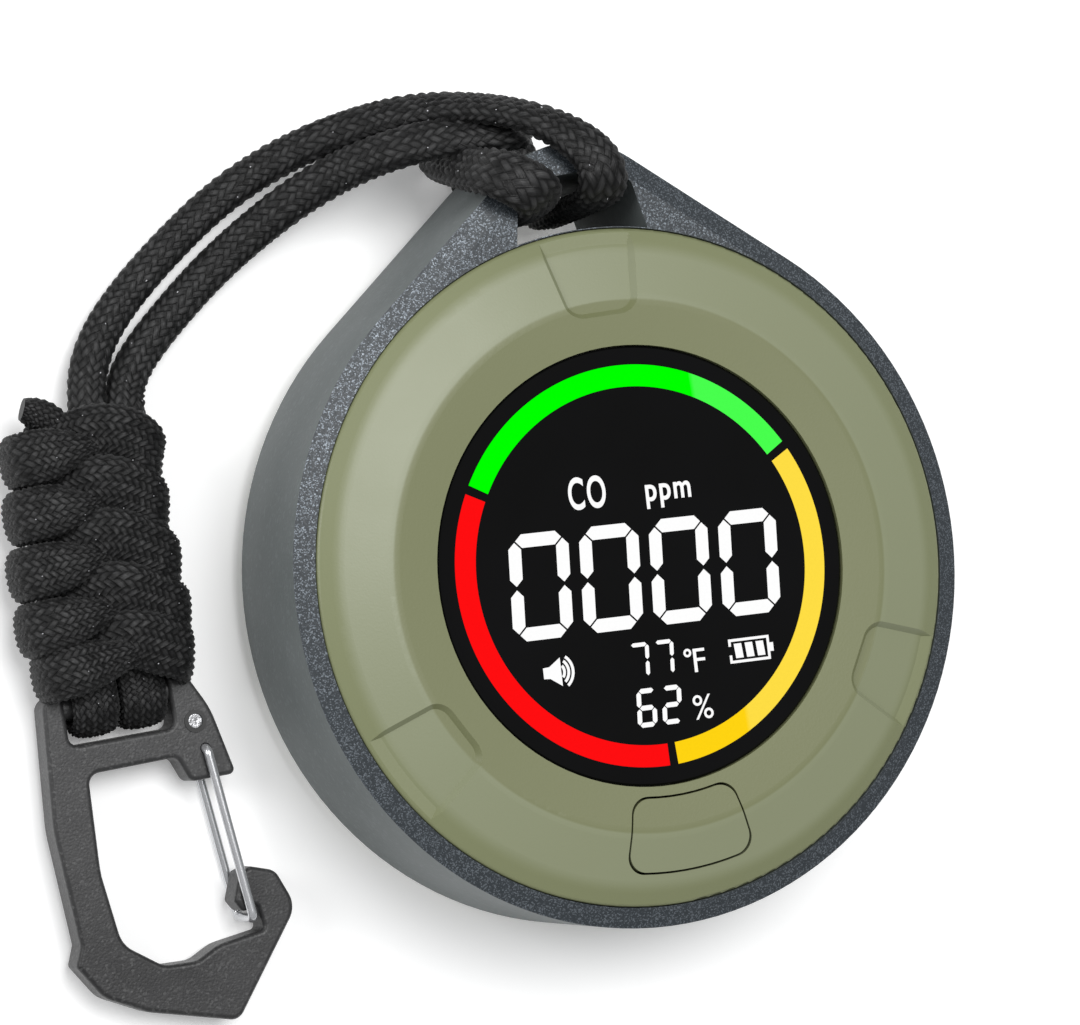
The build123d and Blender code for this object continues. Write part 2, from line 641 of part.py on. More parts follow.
with BuildPart() as lanyard_eye:
    with BuildSketch(Plane.YZ.offset(EYE_X[0])):
        with Locations((BAR_Y, BAR_Z)):
            Circle(EYE_R_OUT)
        with Locations(((BAR_Y + KNOT_END_Y) / 2, BAR_Z)):
            Rectangle(KNOT_END_Y - BAR_Y, 2 * EYE_R_OUT)
        with Locations((BAR_Y, BAR_Z)):
            Circle(EYE_R_IN, mode=Mode.SUBTRACT)
        with Locations(((BAR_Y + KNOT_END_Y) / 2, BAR_Z)):
            Rectangle(KNOT_END_Y - BAR_Y, 2 * EYE_R_IN, mode=Mode.SUBTRACT)
        with Locations((BAR_Y + 5 + (KNOT_END_Y - BAR_Y), BAR_Z)):
            Rectangle(10, 10, mode=Mode.SUBTRACT)
    extrude(amount=EYE_X[1] - EYE_X[0])

# ---------------------------------------------------------------- carabiner

with BuildPart() as carabiner_body:
    with BuildSketch(Plane.XY.offset(BODY_Z)):
        with BuildLine():
            FilletPolyline(
                (-59.9, -3.2), (-60.9, -16.5), (-60.1, -28.3), (-60.9, -30.3), (-58.6, -33.9), (-54.3, -36.2),
                (-45.0, -38.9), (-37.0, -28.6), (-38.6, -24.6), (-41.2, -23.7), (-42.4, -24.1), (-43.5, -26.9),
                (-42.7, -28.2), (-41.2, -27.6), (-40.8, -30.3), (-45.9, -30.9), (-48.4, -32.1), (-51.9, -31.9),
                (-55.8, -29.0), (-56.8, -21.5), (-56.4, -11.5), (-47.0, -11.4), (-45.9, -14.1), (-41.0, -14.1),
                (-42.6, -7.0), (-44.6, -3.2),
                radius=[1.4, 12, 0.8, 0.5, 3, 3, 1.4, 2.6, 1.6, 0.6, 0.5, 0.5, 0.5, 0.35, 0.5, 4, 2.5, 2.5,
                        3, 12, 1.2, 0.9, 0.8, 0.6, 10, 1.0],
                close=True)
        make_face()
        with Locations((STRAP_SLOT_X, -6.9)):
            RectangleRounded(STRAP_SLOT_W, 3.0, 0.9, mode=Mode.SUBTRACT)
        with Locations((STRAP_SLOT_X, -4.0)):
            Rectangle(STRAP_SLOT_W, 5.6, mode=Mode.SUBTRACT)
    extrude(amount=BODY_T)
    fillet(carabiner_body.faces().filter_by(Plane.XY).edges(), BODY_ROUND)
    with BuildSketch(Plane.YZ.offset(-58.6)):
        with Locations((BAR_Y, BAR_Z)):
            Circle(BAR_R)
    extrude(amount=12.8)
    with Locations((*GATE_PIVOT, BODY_Z + BODY_T)):
        Hole(WIRE_D / 2 + 0.1)
    with Locations((*RIVET, BODY_Z + BODY_T)):
        Hole(RIVET_R + 0.02)

with BuildPart() as gate_rivet:
    with BuildSketch(Plane.XY.offset(BODY_Z + 0.1)):
        with Locations(RIVET):
            Circle(RIVET_R)
    extrude(amount=BODY_T)
    fillet(gate_rivet.faces().sort_by(Axis.Z)[-1].edges(), 0.25)

GATE_LOW = WIRE_D / 2
GATE_HIGH = BODY_Z + BODY_T + 0.1 + WIRE_D / 2
with BuildPart() as gate_wire:
    with BuildLine():
        gate_path = FilletPolyline(
            (*GATE_PIVOT, BODY_Z + BODY_T - GATE_TANG), (*GATE_PIVOT, GATE_HIGH), (*GATE_END, GATE_HIGH),
            (*GATE_END, GATE_LOW), (*GATE_PIVOT, GATE_LOW), (*GATE_PIVOT, BODY_Z + GATE_TANG), radius=0.7)
    with BuildSketch(Plane(origin=gate_path @ 0, z_dir=(0, 0, 1))):
        Circle(WIRE_D / 2)
    sweep()

PIECES = {
    "mid_frame": mid_frame.part, "front_cover": front_cover.part, "back_cover": back_cover.part,
    "display_lens": display_lens.part, "lens_adhesive": lens_adhesive.part, "display_panel": display_panel.part,
    "display_backlight": display_backlight.part, "display_ribbon": display_ribbon.part,
    "button_cap": button_cap.part, "tact_switch": tact_switch.part, "tact_switch_stem": tact_switch_stem.part,
    "main_board": main_board.part, "board_chips": board_chips.part, "board_screws": board_screws.part,
    "co_sensor": co_sensor.part, "co2_sensor": co2_sensor.part, "climate_sensor": climate_sensor.part,
    "buzzer": buzzer.part, "usb_socket": usb_socket.part, "usb_tongue": usb_tongue.part,
    "magnet": magnet.part, "magnet_plate": magnet_plate.part, "battery_tape": battery_tape.part,
    "battery": battery.part, "battery_leads": battery_leads.part, "battery_connector": battery_connector.part,
    "vent_mesh": vent_mesh.part, "case_screws": case_screws.part,
    "lanyard_strand_outer": lanyard_strand_outer, "lanyard_hitch": lanyard_hitch,
    "lanyard_strand_inner": lanyard_strand_inner, "lanyard_knot": lanyard_knot.part,
    "lanyard_eye": lanyard_eye.part, "carabiner_body": carabiner_body.part, "gate_rivet": gate_rivet.part,
    "gate_wire": gate_wire.part,
}
for piece_name, piece in PIECES.items():
    save(piece, piece_name)
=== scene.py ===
"""Looks of the handheld gas monitor, its braided lanyard and its carabiner.

Lengths in the constants are millimetres. Everything in the file's scene is metres, in the
frame of the packed model: the monitor lies on its back, display up, and +Y points to the
lanyard loop.
"""

import math

import bmesh
import bpy
import numpy as np
from bpy.props import FloatProperty, FloatVectorProperty, IntProperty, PointerProperty
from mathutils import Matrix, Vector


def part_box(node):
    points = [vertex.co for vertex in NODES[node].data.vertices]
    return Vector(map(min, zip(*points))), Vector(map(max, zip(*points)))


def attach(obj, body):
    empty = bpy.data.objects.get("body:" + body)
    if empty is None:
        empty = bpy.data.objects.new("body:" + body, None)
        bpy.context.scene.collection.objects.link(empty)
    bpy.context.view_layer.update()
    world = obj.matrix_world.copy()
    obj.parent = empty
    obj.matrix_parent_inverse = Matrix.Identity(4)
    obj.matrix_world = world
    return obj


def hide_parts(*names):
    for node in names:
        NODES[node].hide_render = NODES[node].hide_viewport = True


bl_info = {
    "name": "Gas monitor looks",
    "version": (1, 0, 0),
    "blender": (4, 5, 0),
    "location": "3D View > Sidebar > Monitor",
    "description": "Builds the finishes, braided lanyard and display of a handheld gas monitor",
    "category": "Object",
}

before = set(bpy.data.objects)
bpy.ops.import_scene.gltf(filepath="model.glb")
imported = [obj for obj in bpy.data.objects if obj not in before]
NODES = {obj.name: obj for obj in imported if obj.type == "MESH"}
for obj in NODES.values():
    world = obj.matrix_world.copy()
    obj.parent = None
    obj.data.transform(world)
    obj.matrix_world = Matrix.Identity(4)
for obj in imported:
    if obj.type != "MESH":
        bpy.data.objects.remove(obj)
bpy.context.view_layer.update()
MM = 0.001

# The cord's two pieces, stop by stop: the place, the width and thickness, and the direction
# that the flat side looks in. They follow the part's plain tubes, and end inside the knot.
OUTER_STOPS = [
    ((2.7, 38.0, 17.0), (5.4, 2.2), (0, -1, 0)), ((2.7, 38.0, 22.8), (5.4, 2.2), (0, -0.7, 0.7)),
    ((2.0, 43.2, 22.8), (4.7, 2.4), (0, 0.2, 1)), ((-4.8, 49.0, 17.2), (4.1, 2.5), (0.3, 0.8, 0.6)),
    ((-15.2, 50.6, 9.6), (3.9, 2.6), (0, 0.4, 0.9)), ((-28.7, 47.0, 2.2), (3.7, 2.6), (0, 0.1, 1)),
    ((-41.5, 38.0, 1.6), (3.7, 2.6), (0, 0, 1)), ((-48.7, 30.7, 2.6), (3.9, 2.5), (0, 0, 1)),
    ((-50.4, 23.2, 4.4), (4.0, 2.4), (0, 0, 1)), ((-50.9, 18.6, 4.8), (3.6, 2.0), (0, 0, 1)),
]
INNER_STOPS = [
    ((2.7, 38.0, 17.0), (5.4, 2.2), (0, -1, 0)), ((2.9, 37.7, 9.0), (4.8, 2.3), (0, -1, 0)),
    ((3.2, 38.0, 1.6), (4.1, 2.5), (0, -0.7, -0.7)), ((2.4, 48.8, 1.6), (4.1, 2.5), (0, 0, -1)),
    ((-7.6, 48.4, 1.6), (4.1, 2.5), (-0.2, 0.1, -1)),
    ((-10.2, 45.4, 8.5), (4.3, 2.4), (-0.8, 0.4, -0.2)),
    ((-9.8, 42.8, 17.5), (4.6, 2.3), (-0.8, 0.5, 0.3)),
    ((-8.6, 41.6, 23.0), (5.4, 2.2), (-0.4, 0.4, 0.8)),
    ((-3.4, 37.9, 22.9), (5.4, 2.2), (0.2, -0.5, 0.8)),
    ((-3.4, 37.9, 1.6), (4.8, 2.3), (0, -0.8, -0.6)),
    ((-3.2, 46.3, 1.6), (4.1, 2.5), (0, 0.6, -0.8)), ((-2.9, 46.4, 9.0), (4.1, 2.5), (0.1, 1, 0)),
    ((-2.6, 46.0, 16.0), (4.1, 2.5), (0.3, 0.7, 0.6)),
    ((-12.6, 47.0, 14.8), (4.3, 2.5), (0, 0.3, 1)),
    ((-21.4, 45.2, 6.4), (4.2, 2.5), (0, 0.2, 1)), ((-31.7, 39.2, 1.8), (4.0, 2.5), (0, 0, 1)),
    ((-40.8, 32.0, 1.6), (3.9, 2.5), (0, 0, 1)), ((-45.3, 27.4, 2.6), (4.0, 2.5), (0, 0, 1)),
    ((-46.3, 23.2, 4.4), (4.0, 2.4), (0, 0, 1)), ((-46.9, 18.6, 4.8), (3.6, 2.0), (0, 0, 1)),
]
OUTER_LENGTH = 85.5
INNER_LENGTH = 158.0

# Turns of the knot, from the top one down: where each sweeping band starts under the turn
# above, crosses the middle and rounds the right edge, and where its lobe rounds the left edge
# and tucks in. X and Y of the band's middle.
KNOT_TURNS = [
    ((-56.6, 23.0), (-51.0, 22.0), (-43.9, 17.9), (-59.8, 20.6), (-51.2, 20.0)),
    ((-57.4, 16.9), (-51.9, 16.9), (-44.0, 13.0), (-60.4, 15.0), (-51.6, 14.2)),
    ((-58.0, 11.0), (-52.3, 11.6), (-43.6, 7.7), (-61.0, 9.3), (-51.9, 8.7)),
    ((-58.0, 5.0), (-52.4, 6.2), (-43.4, 2.7), (-61.1, 3.7), (-51.8, 3.4)),
    ((-56.4, 0.2), (-51.6, 1.2), (-43.8, -1.4), (-60.2, -1.0), (-49.2, -0.9)),
]

# The two strands that the knot is tied round, and their turns round the carabiner's bar.
CORE_STRANDS = [((-50.8, 24.4), (-52.6, 12.0), (-54.7, -1.5)),
                ((-46.7, 24.2), (-48.4, 12.0), (-49.7, -1.5))]
CORE_SIZES = [(4.5, 3.4), (5.4, 4.4), (5.2, 4.2)]
EYE_CENTRES = (-54.72, -49.68)
EYE_SIZE = (4.75, 1.8)
EYE_TURN_R = 2.43
BAR_Y = -4.5
BAR_Z = 3.4

# Radii of the cover's crease and shoulder, the window's height, and how far the lit layer
# stands off it.
CREASE_R = 27.3
SHOULDER_R = 32.6
LENS_TOP = 22.0
LIT_GAP = 0.004

# Length at a cord's ends over which its relief fades out, in metres.
FADE = 0.8 * MM

BLACK = (0, 0, 0, 1)
WHITE = (1, 1, 1, 1)


def lengths(values):
    """Millimetres to metres, for one point."""
    return tuple(v * MM for v in values)


def paint(red, green, blue):
    """A screen colour, 0 to 255 each, as the linear colour that shaders take."""
    linear = [c / 255 / 12.92 if c <= 10 else ((c / 255 + 0.055) / 1.055) ** 2.4
              for c in (red, green, blue)]
    return (*linear, 1.0)


def mixed(colour, share, other):
    """Two colours mixed, with the share of the second."""
    return tuple(a + (b - a) * share for a, b in zip(colour, other))


# ------------------------------------------------------------------ settings

class MonitorStudioSettings(bpy.types.PropertyGroup):
    """Camera, floor and lights."""

    camera_place: FloatVectorProperty(
        name="Camera place", description="Where the camera stands", size=3,
        default=lengths((-165.75, 7.36, 395.51)), subtype="TRANSLATION")
    camera_turn: FloatVectorProperty(
        name="Camera turn", description="Turn about X, Y and Z", size=3,
        default=[math.radians(a) for a in (3.8825, -22.2802, -10.2618)], subtype="EULER")
    camera_lens: FloatProperty(
        name="Lens", description="Focal length in millimetres", default=133.33)
    floor_colour: FloatVectorProperty(
        name="Floor", description="Colour of the floor", size=4, default=(0.95, 0.95, 0.95, 1.0),
        subtype="COLOR")
    sky_strength: FloatProperty(
        name="Room light", description="Strength of the even light from all round", default=0.36)
    key_power: FloatProperty(
        name="Softbox", description="Power of the softbox overhead", default=6.6, unit="POWER")


class MonitorBraidSettings(bpy.types.PropertyGroup):
    """The braided cord of the lanyard."""

    width: FloatProperty(
        name="Width", description="Width of the flat braid", default=4.1 * MM, unit="LENGTH")
    pitch: FloatProperty(
        name="Stitch", description="Length of one stitch where the cord is stretched",
        default=1.15 * MM, unit="LENGTH")
    yarns: IntProperty(
        name="Yarns", description="Yarns in each direction where the cord is stretched", default=14)
    relief: FloatProperty(
        name="Relief", description="How far a stitch stands proud", default=0.3 * MM, unit="LENGTH")
    colour: FloatVectorProperty(
        name="Colour", description="Colour of the yarn", size=4, default=paint(33, 33, 34),
        subtype="COLOR")


class MonitorKnotSettings(bpy.types.PropertyGroup):
    """The woven knot and the turns round the carabiner's bar."""

    band_width: FloatProperty(
        name="Band width", description="Width of the cord where it is pulled flat",
        default=5.5 * MM, unit="LENGTH")
    band_thickness: FloatProperty(
        name="Band thickness", description="Thickness of the cord in the knot", default=2.3 * MM,
        unit="LENGTH")
    pitch: FloatProperty(
        name="Stitch", description="Length of one stitch in the knot", default=0.72 * MM,
        unit="LENGTH")
    yarns: IntProperty(
        name="Yarns", description="Yarns in each direction, seen in the knot", default=20)
    front: FloatProperty(
        name="Front height", description="Height of the front bands' middle", default=8.3 * MM,
        unit="LENGTH")
    back: FloatProperty(
        name="Back height", description="Height of the back bands' middle", default=1.35 * MM,
        unit="LENGTH")


class MonitorCaseSettings(bpy.types.PropertyGroup):
    """Colours of the moulded case."""

    cover_light: FloatVectorProperty(
        name="Cover", description="Olive of the outer ring", size=4, default=paint(131, 136, 108),
        subtype="COLOR")
    # Painted shade: the band's olive is set darker than its own slightly darker tone.
    cover_band_and_shade: FloatVectorProperty(
        name="Cover band", description="Olive of the window's band", size=4,
        default=paint(115, 119, 85), subtype="COLOR")
    # Painted shade: the rim's olive is darkened as the shade on its rounding.
    cover_rim_shaded: FloatVectorProperty(
        name="Cover edge", description="Olive of the rounded rim", size=4,
        default=paint(122, 127, 94), subtype="COLOR")
    frame_wall: FloatVectorProperty(
        name="Frame wall", description="Grey of the side wall", size=4, default=paint(91, 98, 98),
        subtype="COLOR")
    frame_face: FloatVectorProperty(
        name="Frame face", description="Grey of the front and back rims", size=4,
        default=paint(53, 59, 64), subtype="COLOR")
    flake: FloatVectorProperty(
        name="Flake", description="Colour of the metal flakes", size=4,
        default=paint(150, 158, 166), subtype="COLOR")


class MonitorDisplaySettings(bpy.types.PropertyGroup):
    """The lit content of the display."""

    ring_inner: FloatProperty(
        name="Ring inside", description="Inner radius of the coloured ring", default=18.35 * MM,
        unit="LENGTH")
    ring_outer: FloatProperty(
        name="Ring outside", description="Outer radius of the coloured ring", default=20.6 * MM,
        unit="LENGTH")
    ring_gap: FloatProperty(
        name="Ring gap", description="Gap between the ring's colours", default=0.95 * MM,
        unit="LENGTH")
    turn: FloatProperty(
        name="Turn", description="Turn of the readout in the window", default=math.radians(-3.1),
        unit="ROTATION")
    ink: FloatProperty(
        name="Layer", description="Height of the lit layer's top over the window",
        default=0.03 * MM, unit="LENGTH")


class MonitorClipSettings(bpy.types.PropertyGroup):
    """Finish of the carabiner."""

    plastic: FloatVectorProperty(
        name="Plastic", description="Colour of the moulded hook", size=4, default=paint(36, 36, 37),
        subtype="COLOR")
    steel: FloatVectorProperty(
        name="Steel", description="Colour of the wire gate", size=4, default=paint(214, 215, 218),
        subtype="COLOR")


# ------------------------------------------------------------------ shader nodes

class Shades:
    """The node tree of a material or of a node group, and short ways to add to it."""

    def __init__(self, tree):
        self.tree = tree

    def put(self, kind, sockets=None, **settings):
        """Adds a node, and sets or links the named inputs."""
        node = self.tree.nodes.new(kind)
        for key, value in settings.items():
            setattr(node, key, value)
        for key, value in (sockets or {}).items():
            self.feed(node.inputs[key], value)
        return node

    def feed(self, socket, value):
        """Links an output to a socket, or sets the socket's own number or colour."""
        if isinstance(value, bpy.types.NodeSocket):
            self.tree.links.new(value, socket)
        else:
            socket.default_value = value

    def dress(self, shader, **sockets):
        """Feeds a shader's inputs, named with _ for each space."""
        for key, value in sockets.items():
            self.feed(shader.inputs[key.replace("_", " ")], value)

    def calc(self, operation, *values, clamp=False):
        """The result of one Math node."""
        return self.put("ShaderNodeMath", dict(enumerate(values)), operation=operation,
                        use_clamp=clamp).outputs[0]

    def times(self, value, factor):
        """The product of two values."""
        return self.calc("MULTIPLY", value, factor)

    def vector(self, operation, first, second=None, scale=None):
        """The result of one Vector Math node."""
        given = {0: first, 1: second, 3: scale}
        sockets = {key: value for key, value in given.items() if value is not None}
        node = self.put("ShaderNodeVectorMath", sockets, operation=operation)
        return node.outputs["Value" if operation == "LENGTH" else "Vector"]

    def choose(self, share, first, second):
        """Two numbers mixed by a share."""
        return self.put("ShaderNodeMix", {0: share, 2: first, 3: second}).outputs[0]

    def blend(self, share, first, second):
        """Two colours mixed by a share."""
        node = self.put("ShaderNodeMix", data_type="RGBA")
        for name, value in (("Factor_Float", share), ("A_Color", first), ("B_Color", second)):
            self.feed(next(s for s in node.inputs if s.identifier == name), value)
        return next(s for s in node.outputs if s.identifier == "Result_Color")

    def span(self, value, low, high, to_low, to_high, smooth=False):
        """A value carried from one range to another, held at its ends."""
        node = self.put("ShaderNodeMapRange", {"Value": value, "From Min": low, "From Max": high,
                                               "To Min": to_low, "To Max": to_high})
        if smooth:
            node.interpolation_type = "SMOOTHSTEP"
        return node.outputs["Result"]


def shader_group(name, inputs, outputs):
    """A new shader node group with named sockets: its Shades, its input and its output node."""
    tree = bpy.data.node_groups.new(name, "ShaderNodeTree")
    for socket, kind, value in inputs:
        made = tree.interface.new_socket(name=socket, in_out="INPUT", socket_type=kind)
        if value is not None:
            made.default_value = value
    for socket, kind in outputs:
        tree.interface.new_socket(name=socket, in_out="OUTPUT", socket_type=kind)
    return Shades(tree), tree.nodes.new("NodeGroupInput"), tree.nodes.new("NodeGroupOutput")


def make_moulded_skin():
    """Fine moulded grain, and slow uneven tone."""
    s, given, out = shader_group(
        "Moulded skin",
        [("Vector", "NodeSocketVector", None), ("Grain scale", "NodeSocketFloat", 3000.0)],
        [("Grain", "NodeSocketFloat"), ("Tone", "NodeSocketFloat")])
    place, grain = given.outputs["Vector"], given.outputs["Grain scale"]
    fine = s.put("ShaderNodeTexNoise", {"Vector": place, "Scale": grain, "Detail": 2.0,
                                        "Roughness": 0.6})
    pebble = s.put("ShaderNodeTexVoronoi", {"Vector": place, "Scale": s.times(grain, 0.8)},
                   feature="SMOOTH_F1")
    slow = s.put("ShaderNodeTexNoise", {"Vector": place, "Scale": 55.0, "Detail": 5.0,
                                        "Roughness": 0.55})
    s.feed(out.inputs["Grain"], s.calc("ADD", s.times(fine.outputs["Fac"], 0.6),
                                       s.times(pebble.outputs["Distance"], 0.5)))
    s.feed(out.inputs["Tone"], s.span(slow.outputs["Fac"], 0.3, 0.7, 0.0, 1.0))


def make_metal_flakes():
    """Random bright flakes, each tilted its own way."""
    s, given, out = shader_group(
        "Metal flakes",
        [("Vector", "NodeSocketVector", None), ("Flake scale", "NodeSocketFloat", 5000.0),
         ("Share", "NodeSocketFloat", 0.3), ("Tilt", "NodeSocketFloat", 0.5)],
        [("Flake", "NodeSocketFloat"), ("Normal", "NodeSocketVector")])
    cells = s.put("ShaderNodeTexVoronoi", {"Vector": given.outputs["Vector"],
                                           "Scale": given.outputs["Flake scale"]})
    parts = s.put("ShaderNodeSeparateColor", {"Color": cells.outputs["Color"]})
    least = s.calc("SUBTRACT", 1.0, given.outputs["Share"])
    s.feed(out.inputs["Flake"], s.span(parts.outputs["Red"], least, 1.0, 0.0, 1.0))
    offset = s.vector("SUBTRACT", cells.outputs["Color"], (0.5, 0.5, 0.5))
    tilt = s.vector("SCALE", offset, scale=given.outputs["Tilt"])
    own = s.put("ShaderNodeNewGeometry").outputs["Normal"]
    s.feed(out.inputs["Normal"], s.vector("NORMALIZE", s.vector("ADD", own, tilt)))


def make_braid_yarns():
    """Fibres, grooves and a few rare painted glints of a two-over-two braid.

    The vector counts the yarns of the two directions, as the mesh's UV map does.
    """
    s, given, out = shader_group(
        "Braid yarns", [("Vector", "NodeSocketVector", None)],
        [("Pillow", "NodeSocketFloat"), ("Fibre", "NodeSocketFloat"), ("Tone", "NodeSocketFloat"),
         ("Glint", "NodeSocketFloat")])
    both = s.put("ShaderNodeSeparateXYZ", {"Vector": given.outputs["Vector"]})
    one, other = both.outputs["X"], both.outputs["Y"]
    row, column = s.calc("FLOOR", one), s.calc("FLOOR", other)
    turn = s.calc("FLOORED_MODULO", s.calc("SUBTRACT", row, column), 4.0)
    first_on_top = s.calc("LESS_THAN", turn, 1.5)
    across = s.choose(first_on_top, s.calc("FRACT", other), s.calc("FRACT", one))
    along = s.choose(first_on_top, one, other)
    yarn = s.choose(first_on_top, s.calc("ADD", column, 71.0), row)
    place = s.put("ShaderNodeCombineXYZ", {"X": s.times(across, 7.0), "Y": s.times(along, 0.9),
                                           "Z": yarn})
    fibre = s.put("ShaderNodeTexNoise", {"Vector": place.outputs[0], "Scale": 1.0, "Detail": 2.0})
    own = s.put("ShaderNodeCombineXYZ", {"X": row, "Y": column, "Z": first_on_top})
    random = s.put("ShaderNodeTexWhiteNoise", {"Vector": own.outputs[0]})
    under = s.choose(first_on_top, s.calc("SUBTRACT", s.calc("SUBTRACT", one, column), 2.0),
                     s.calc("ADD", s.calc("SUBTRACT", other, row), 1.0))
    travel = s.calc("FLOORED_MODULO", under, 4.0)
    crown = s.calc("SINE", s.times(travel, math.pi / 2), clamp=True)
    middle = s.calc("SINE", s.times(across, math.pi), clamp=True)
    s.feed(out.inputs["Pillow"], s.times(s.calc("POWER", middle, 0.9), s.calc("POWER", crown, 1.1)))
    s.feed(out.inputs["Fibre"], fibre.outputs["Fac"])
    s.feed(out.inputs["Tone"], random.outputs["Value"])
    # Painted highlight: rare bright dots, painted as glints on the yarn.
    glint = s.put("ShaderNodeTexVoronoi", {"Vector": given.outputs["Vector"], "Scale": 2.3})
    picked = s.put("ShaderNodeSeparateColor", {"Color": glint.outputs["Color"]})
    dots = s.calc("LESS_THAN", glint.outputs["Distance"], 0.22)
    rare = s.calc("GREATER_THAN", picked.outputs["Green"], 0.99)
    s.feed(out.inputs["Glint"], s.times(dots, rare))


def place_group(s, name, sockets):
    """Puts a shared node group into a material, with its own values."""
    node = s.put("ShaderNodeGroup", node_tree=bpy.data.node_groups[name])
    for key, value in sockets.items():
        s.feed(node.inputs[key], value)
    return node.outputs


def new_finish(name, **sockets):
    """A material with a Principled BSDF, its Shades and the shader node."""
    material = bpy.data.materials.new(name)
    material.use_nodes = True
    s = Shades(material.node_tree)
    shader = material.node_tree.nodes["Principled BSDF"]
    s.dress(shader, **sockets)
    return material, s, shader


def object_place(s):
    """The position on the piece, in metres of the part's frame."""
    return s.put("ShaderNodeTexCoord").outputs["Object"]


def bump(s, shader, height, depth, normal=None):
    """Feeds a height, in metres of relief, to a shader's normal."""
    node = s.put("ShaderNodeBump", {"Height": height, "Distance": depth, "Strength": 1.0})
    if normal is not None:
        s.feed(node.inputs["Normal"], normal)
    s.feed(shader.inputs["Normal"], node.outputs["Normal"])


def moulded_skin(s, grain):
    """The outputs of the moulded skin, with its own grain."""
    return place_group(s, "Moulded skin", {"Vector": object_place(s), "Grain scale": grain})


def metal_flakes(s, scale, share, tilt):
    """The outputs of the metal flakes, with their own size, share and tilt."""
    return place_group(s, "Metal flakes", {"Vector": object_place(s), "Flake scale": scale,
                                           "Share": share, "Tilt": tilt})


def uneven_tone(s, mask, colour, darker, lighter):
    """A colour that a mask carries from a darker to a lighter tone."""
    return s.blend(mask, mixed(colour, darker, BLACK), mixed(colour, lighter, WHITE))


def moulded_finish(name, colour, roughness, grain=3000.0, depth=0.02, uneven=0.12, **sockets):
    """A one-colour finish with fine grain, uneven tone and uneven gloss."""
    material, s, shader = new_finish(name, **sockets)
    skin = moulded_skin(s, grain)
    tone = uneven_tone(s, skin["Tone"], colour, uneven, uneven * 0.6)
    gloss = s.span(skin["Tone"], 0.0, 1.0, roughness * 0.88, min(1.0, roughness * 1.12))
    s.dress(shader, Base_Color=tone, Roughness=gloss)
    bump(s, shader, skin["Grain"], depth * MM)
    return material


def wear(node, material):
    """Gives a carried-over piece its finish."""
    slots = NODES[node].material_slots
    if not slots:
        NODES[node].data.materials.append(material)
    for slot in slots:
        slot.material = material


# ------------------------------------------------------------------ meshes

def add_object(name, data):
    """A new object in the scene."""
    made = bpy.data.objects.new(name, data)
    bpy.context.scene.collection.objects.link(made)
    return made


def add_piece(name, mesh, body):
    """A mesh piece in the part's frame that moves with a body."""
    piece = add_object(name, mesh)
    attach(piece, body)
    return piece


def curve_mesh(name, curve):
    """The mesh that a curve makes. The curve's own object is taken away again."""
    holder = add_object(name, curve)
    bpy.context.view_layer.update()
    mesh = bpy.data.meshes.new_from_object(
        holder.evaluated_get(bpy.context.evaluated_depsgraph_get()))
    bpy.data.objects.remove(holder)
    return mesh


def read_spline(points, steps):
    """Points along the smooth NURBS spline of the given control points, in their own unit."""
    curve = bpy.data.curves.new("route", "CURVE")
    curve.dimensions = "3D"
    spline = curve.splines.new("NURBS")
    spline.points.add(len(points) - 1)
    for point, place in zip(spline.points, points):
        point.co = (*place, 1.0)
    spline.order_u = 3
    spline.use_endpoint_u = True
    spline.resolution_u = steps
    mesh = curve_mesh("route", curve)
    line = np.array([v.co[:] for v in mesh.vertices])
    bpy.data.meshes.remove(mesh)
    bpy.data.curves.remove(curve)
    return line


def unit(vectors):
    """Vectors of length one."""
    return vectors / np.linalg.norm(vectors, axis=1, keepdims=True)


def flat_section(count, squareness):
    """A rounded flat section of half width 1 and half thickness 1, evenly spaced round."""
    turn = np.linspace(0, 2 * math.pi, 4001)
    across = np.sign(np.cos(turn)) * np.abs(np.cos(turn)) ** (1 - squareness)
    up = np.sign(np.sin(turn)) * np.abs(np.sin(turn)) ** (1 - squareness * 0.6)
    run = np.concatenate([[0], np.cumsum(np.hypot(np.diff(across * 1.64), np.diff(up)))])
    even = np.linspace(0, run[-1], count + 1)[:-1]
    return np.stack([np.interp(even, run, across), np.interp(even, run, up)], 1)


def weave_height(one, other):
    """Relief of a two-over-two braid, 0 to 1, from the counts of the two yarn directions."""
    row, column = np.floor(one), np.floor(other)
    first_on_top = np.mod(row - column, 4) < 1.5
    across = np.where(first_on_top, one - row, other - column)
    along = np.where(first_on_top, np.mod(other - row + 1, 4), np.mod(one - column - 2, 4))
    crown = np.sin(math.pi * np.clip(along, 0, 2) / 2)
    return np.abs(np.sin(math.pi * across)) ** 0.9 * np.abs(crown) ** 1.1


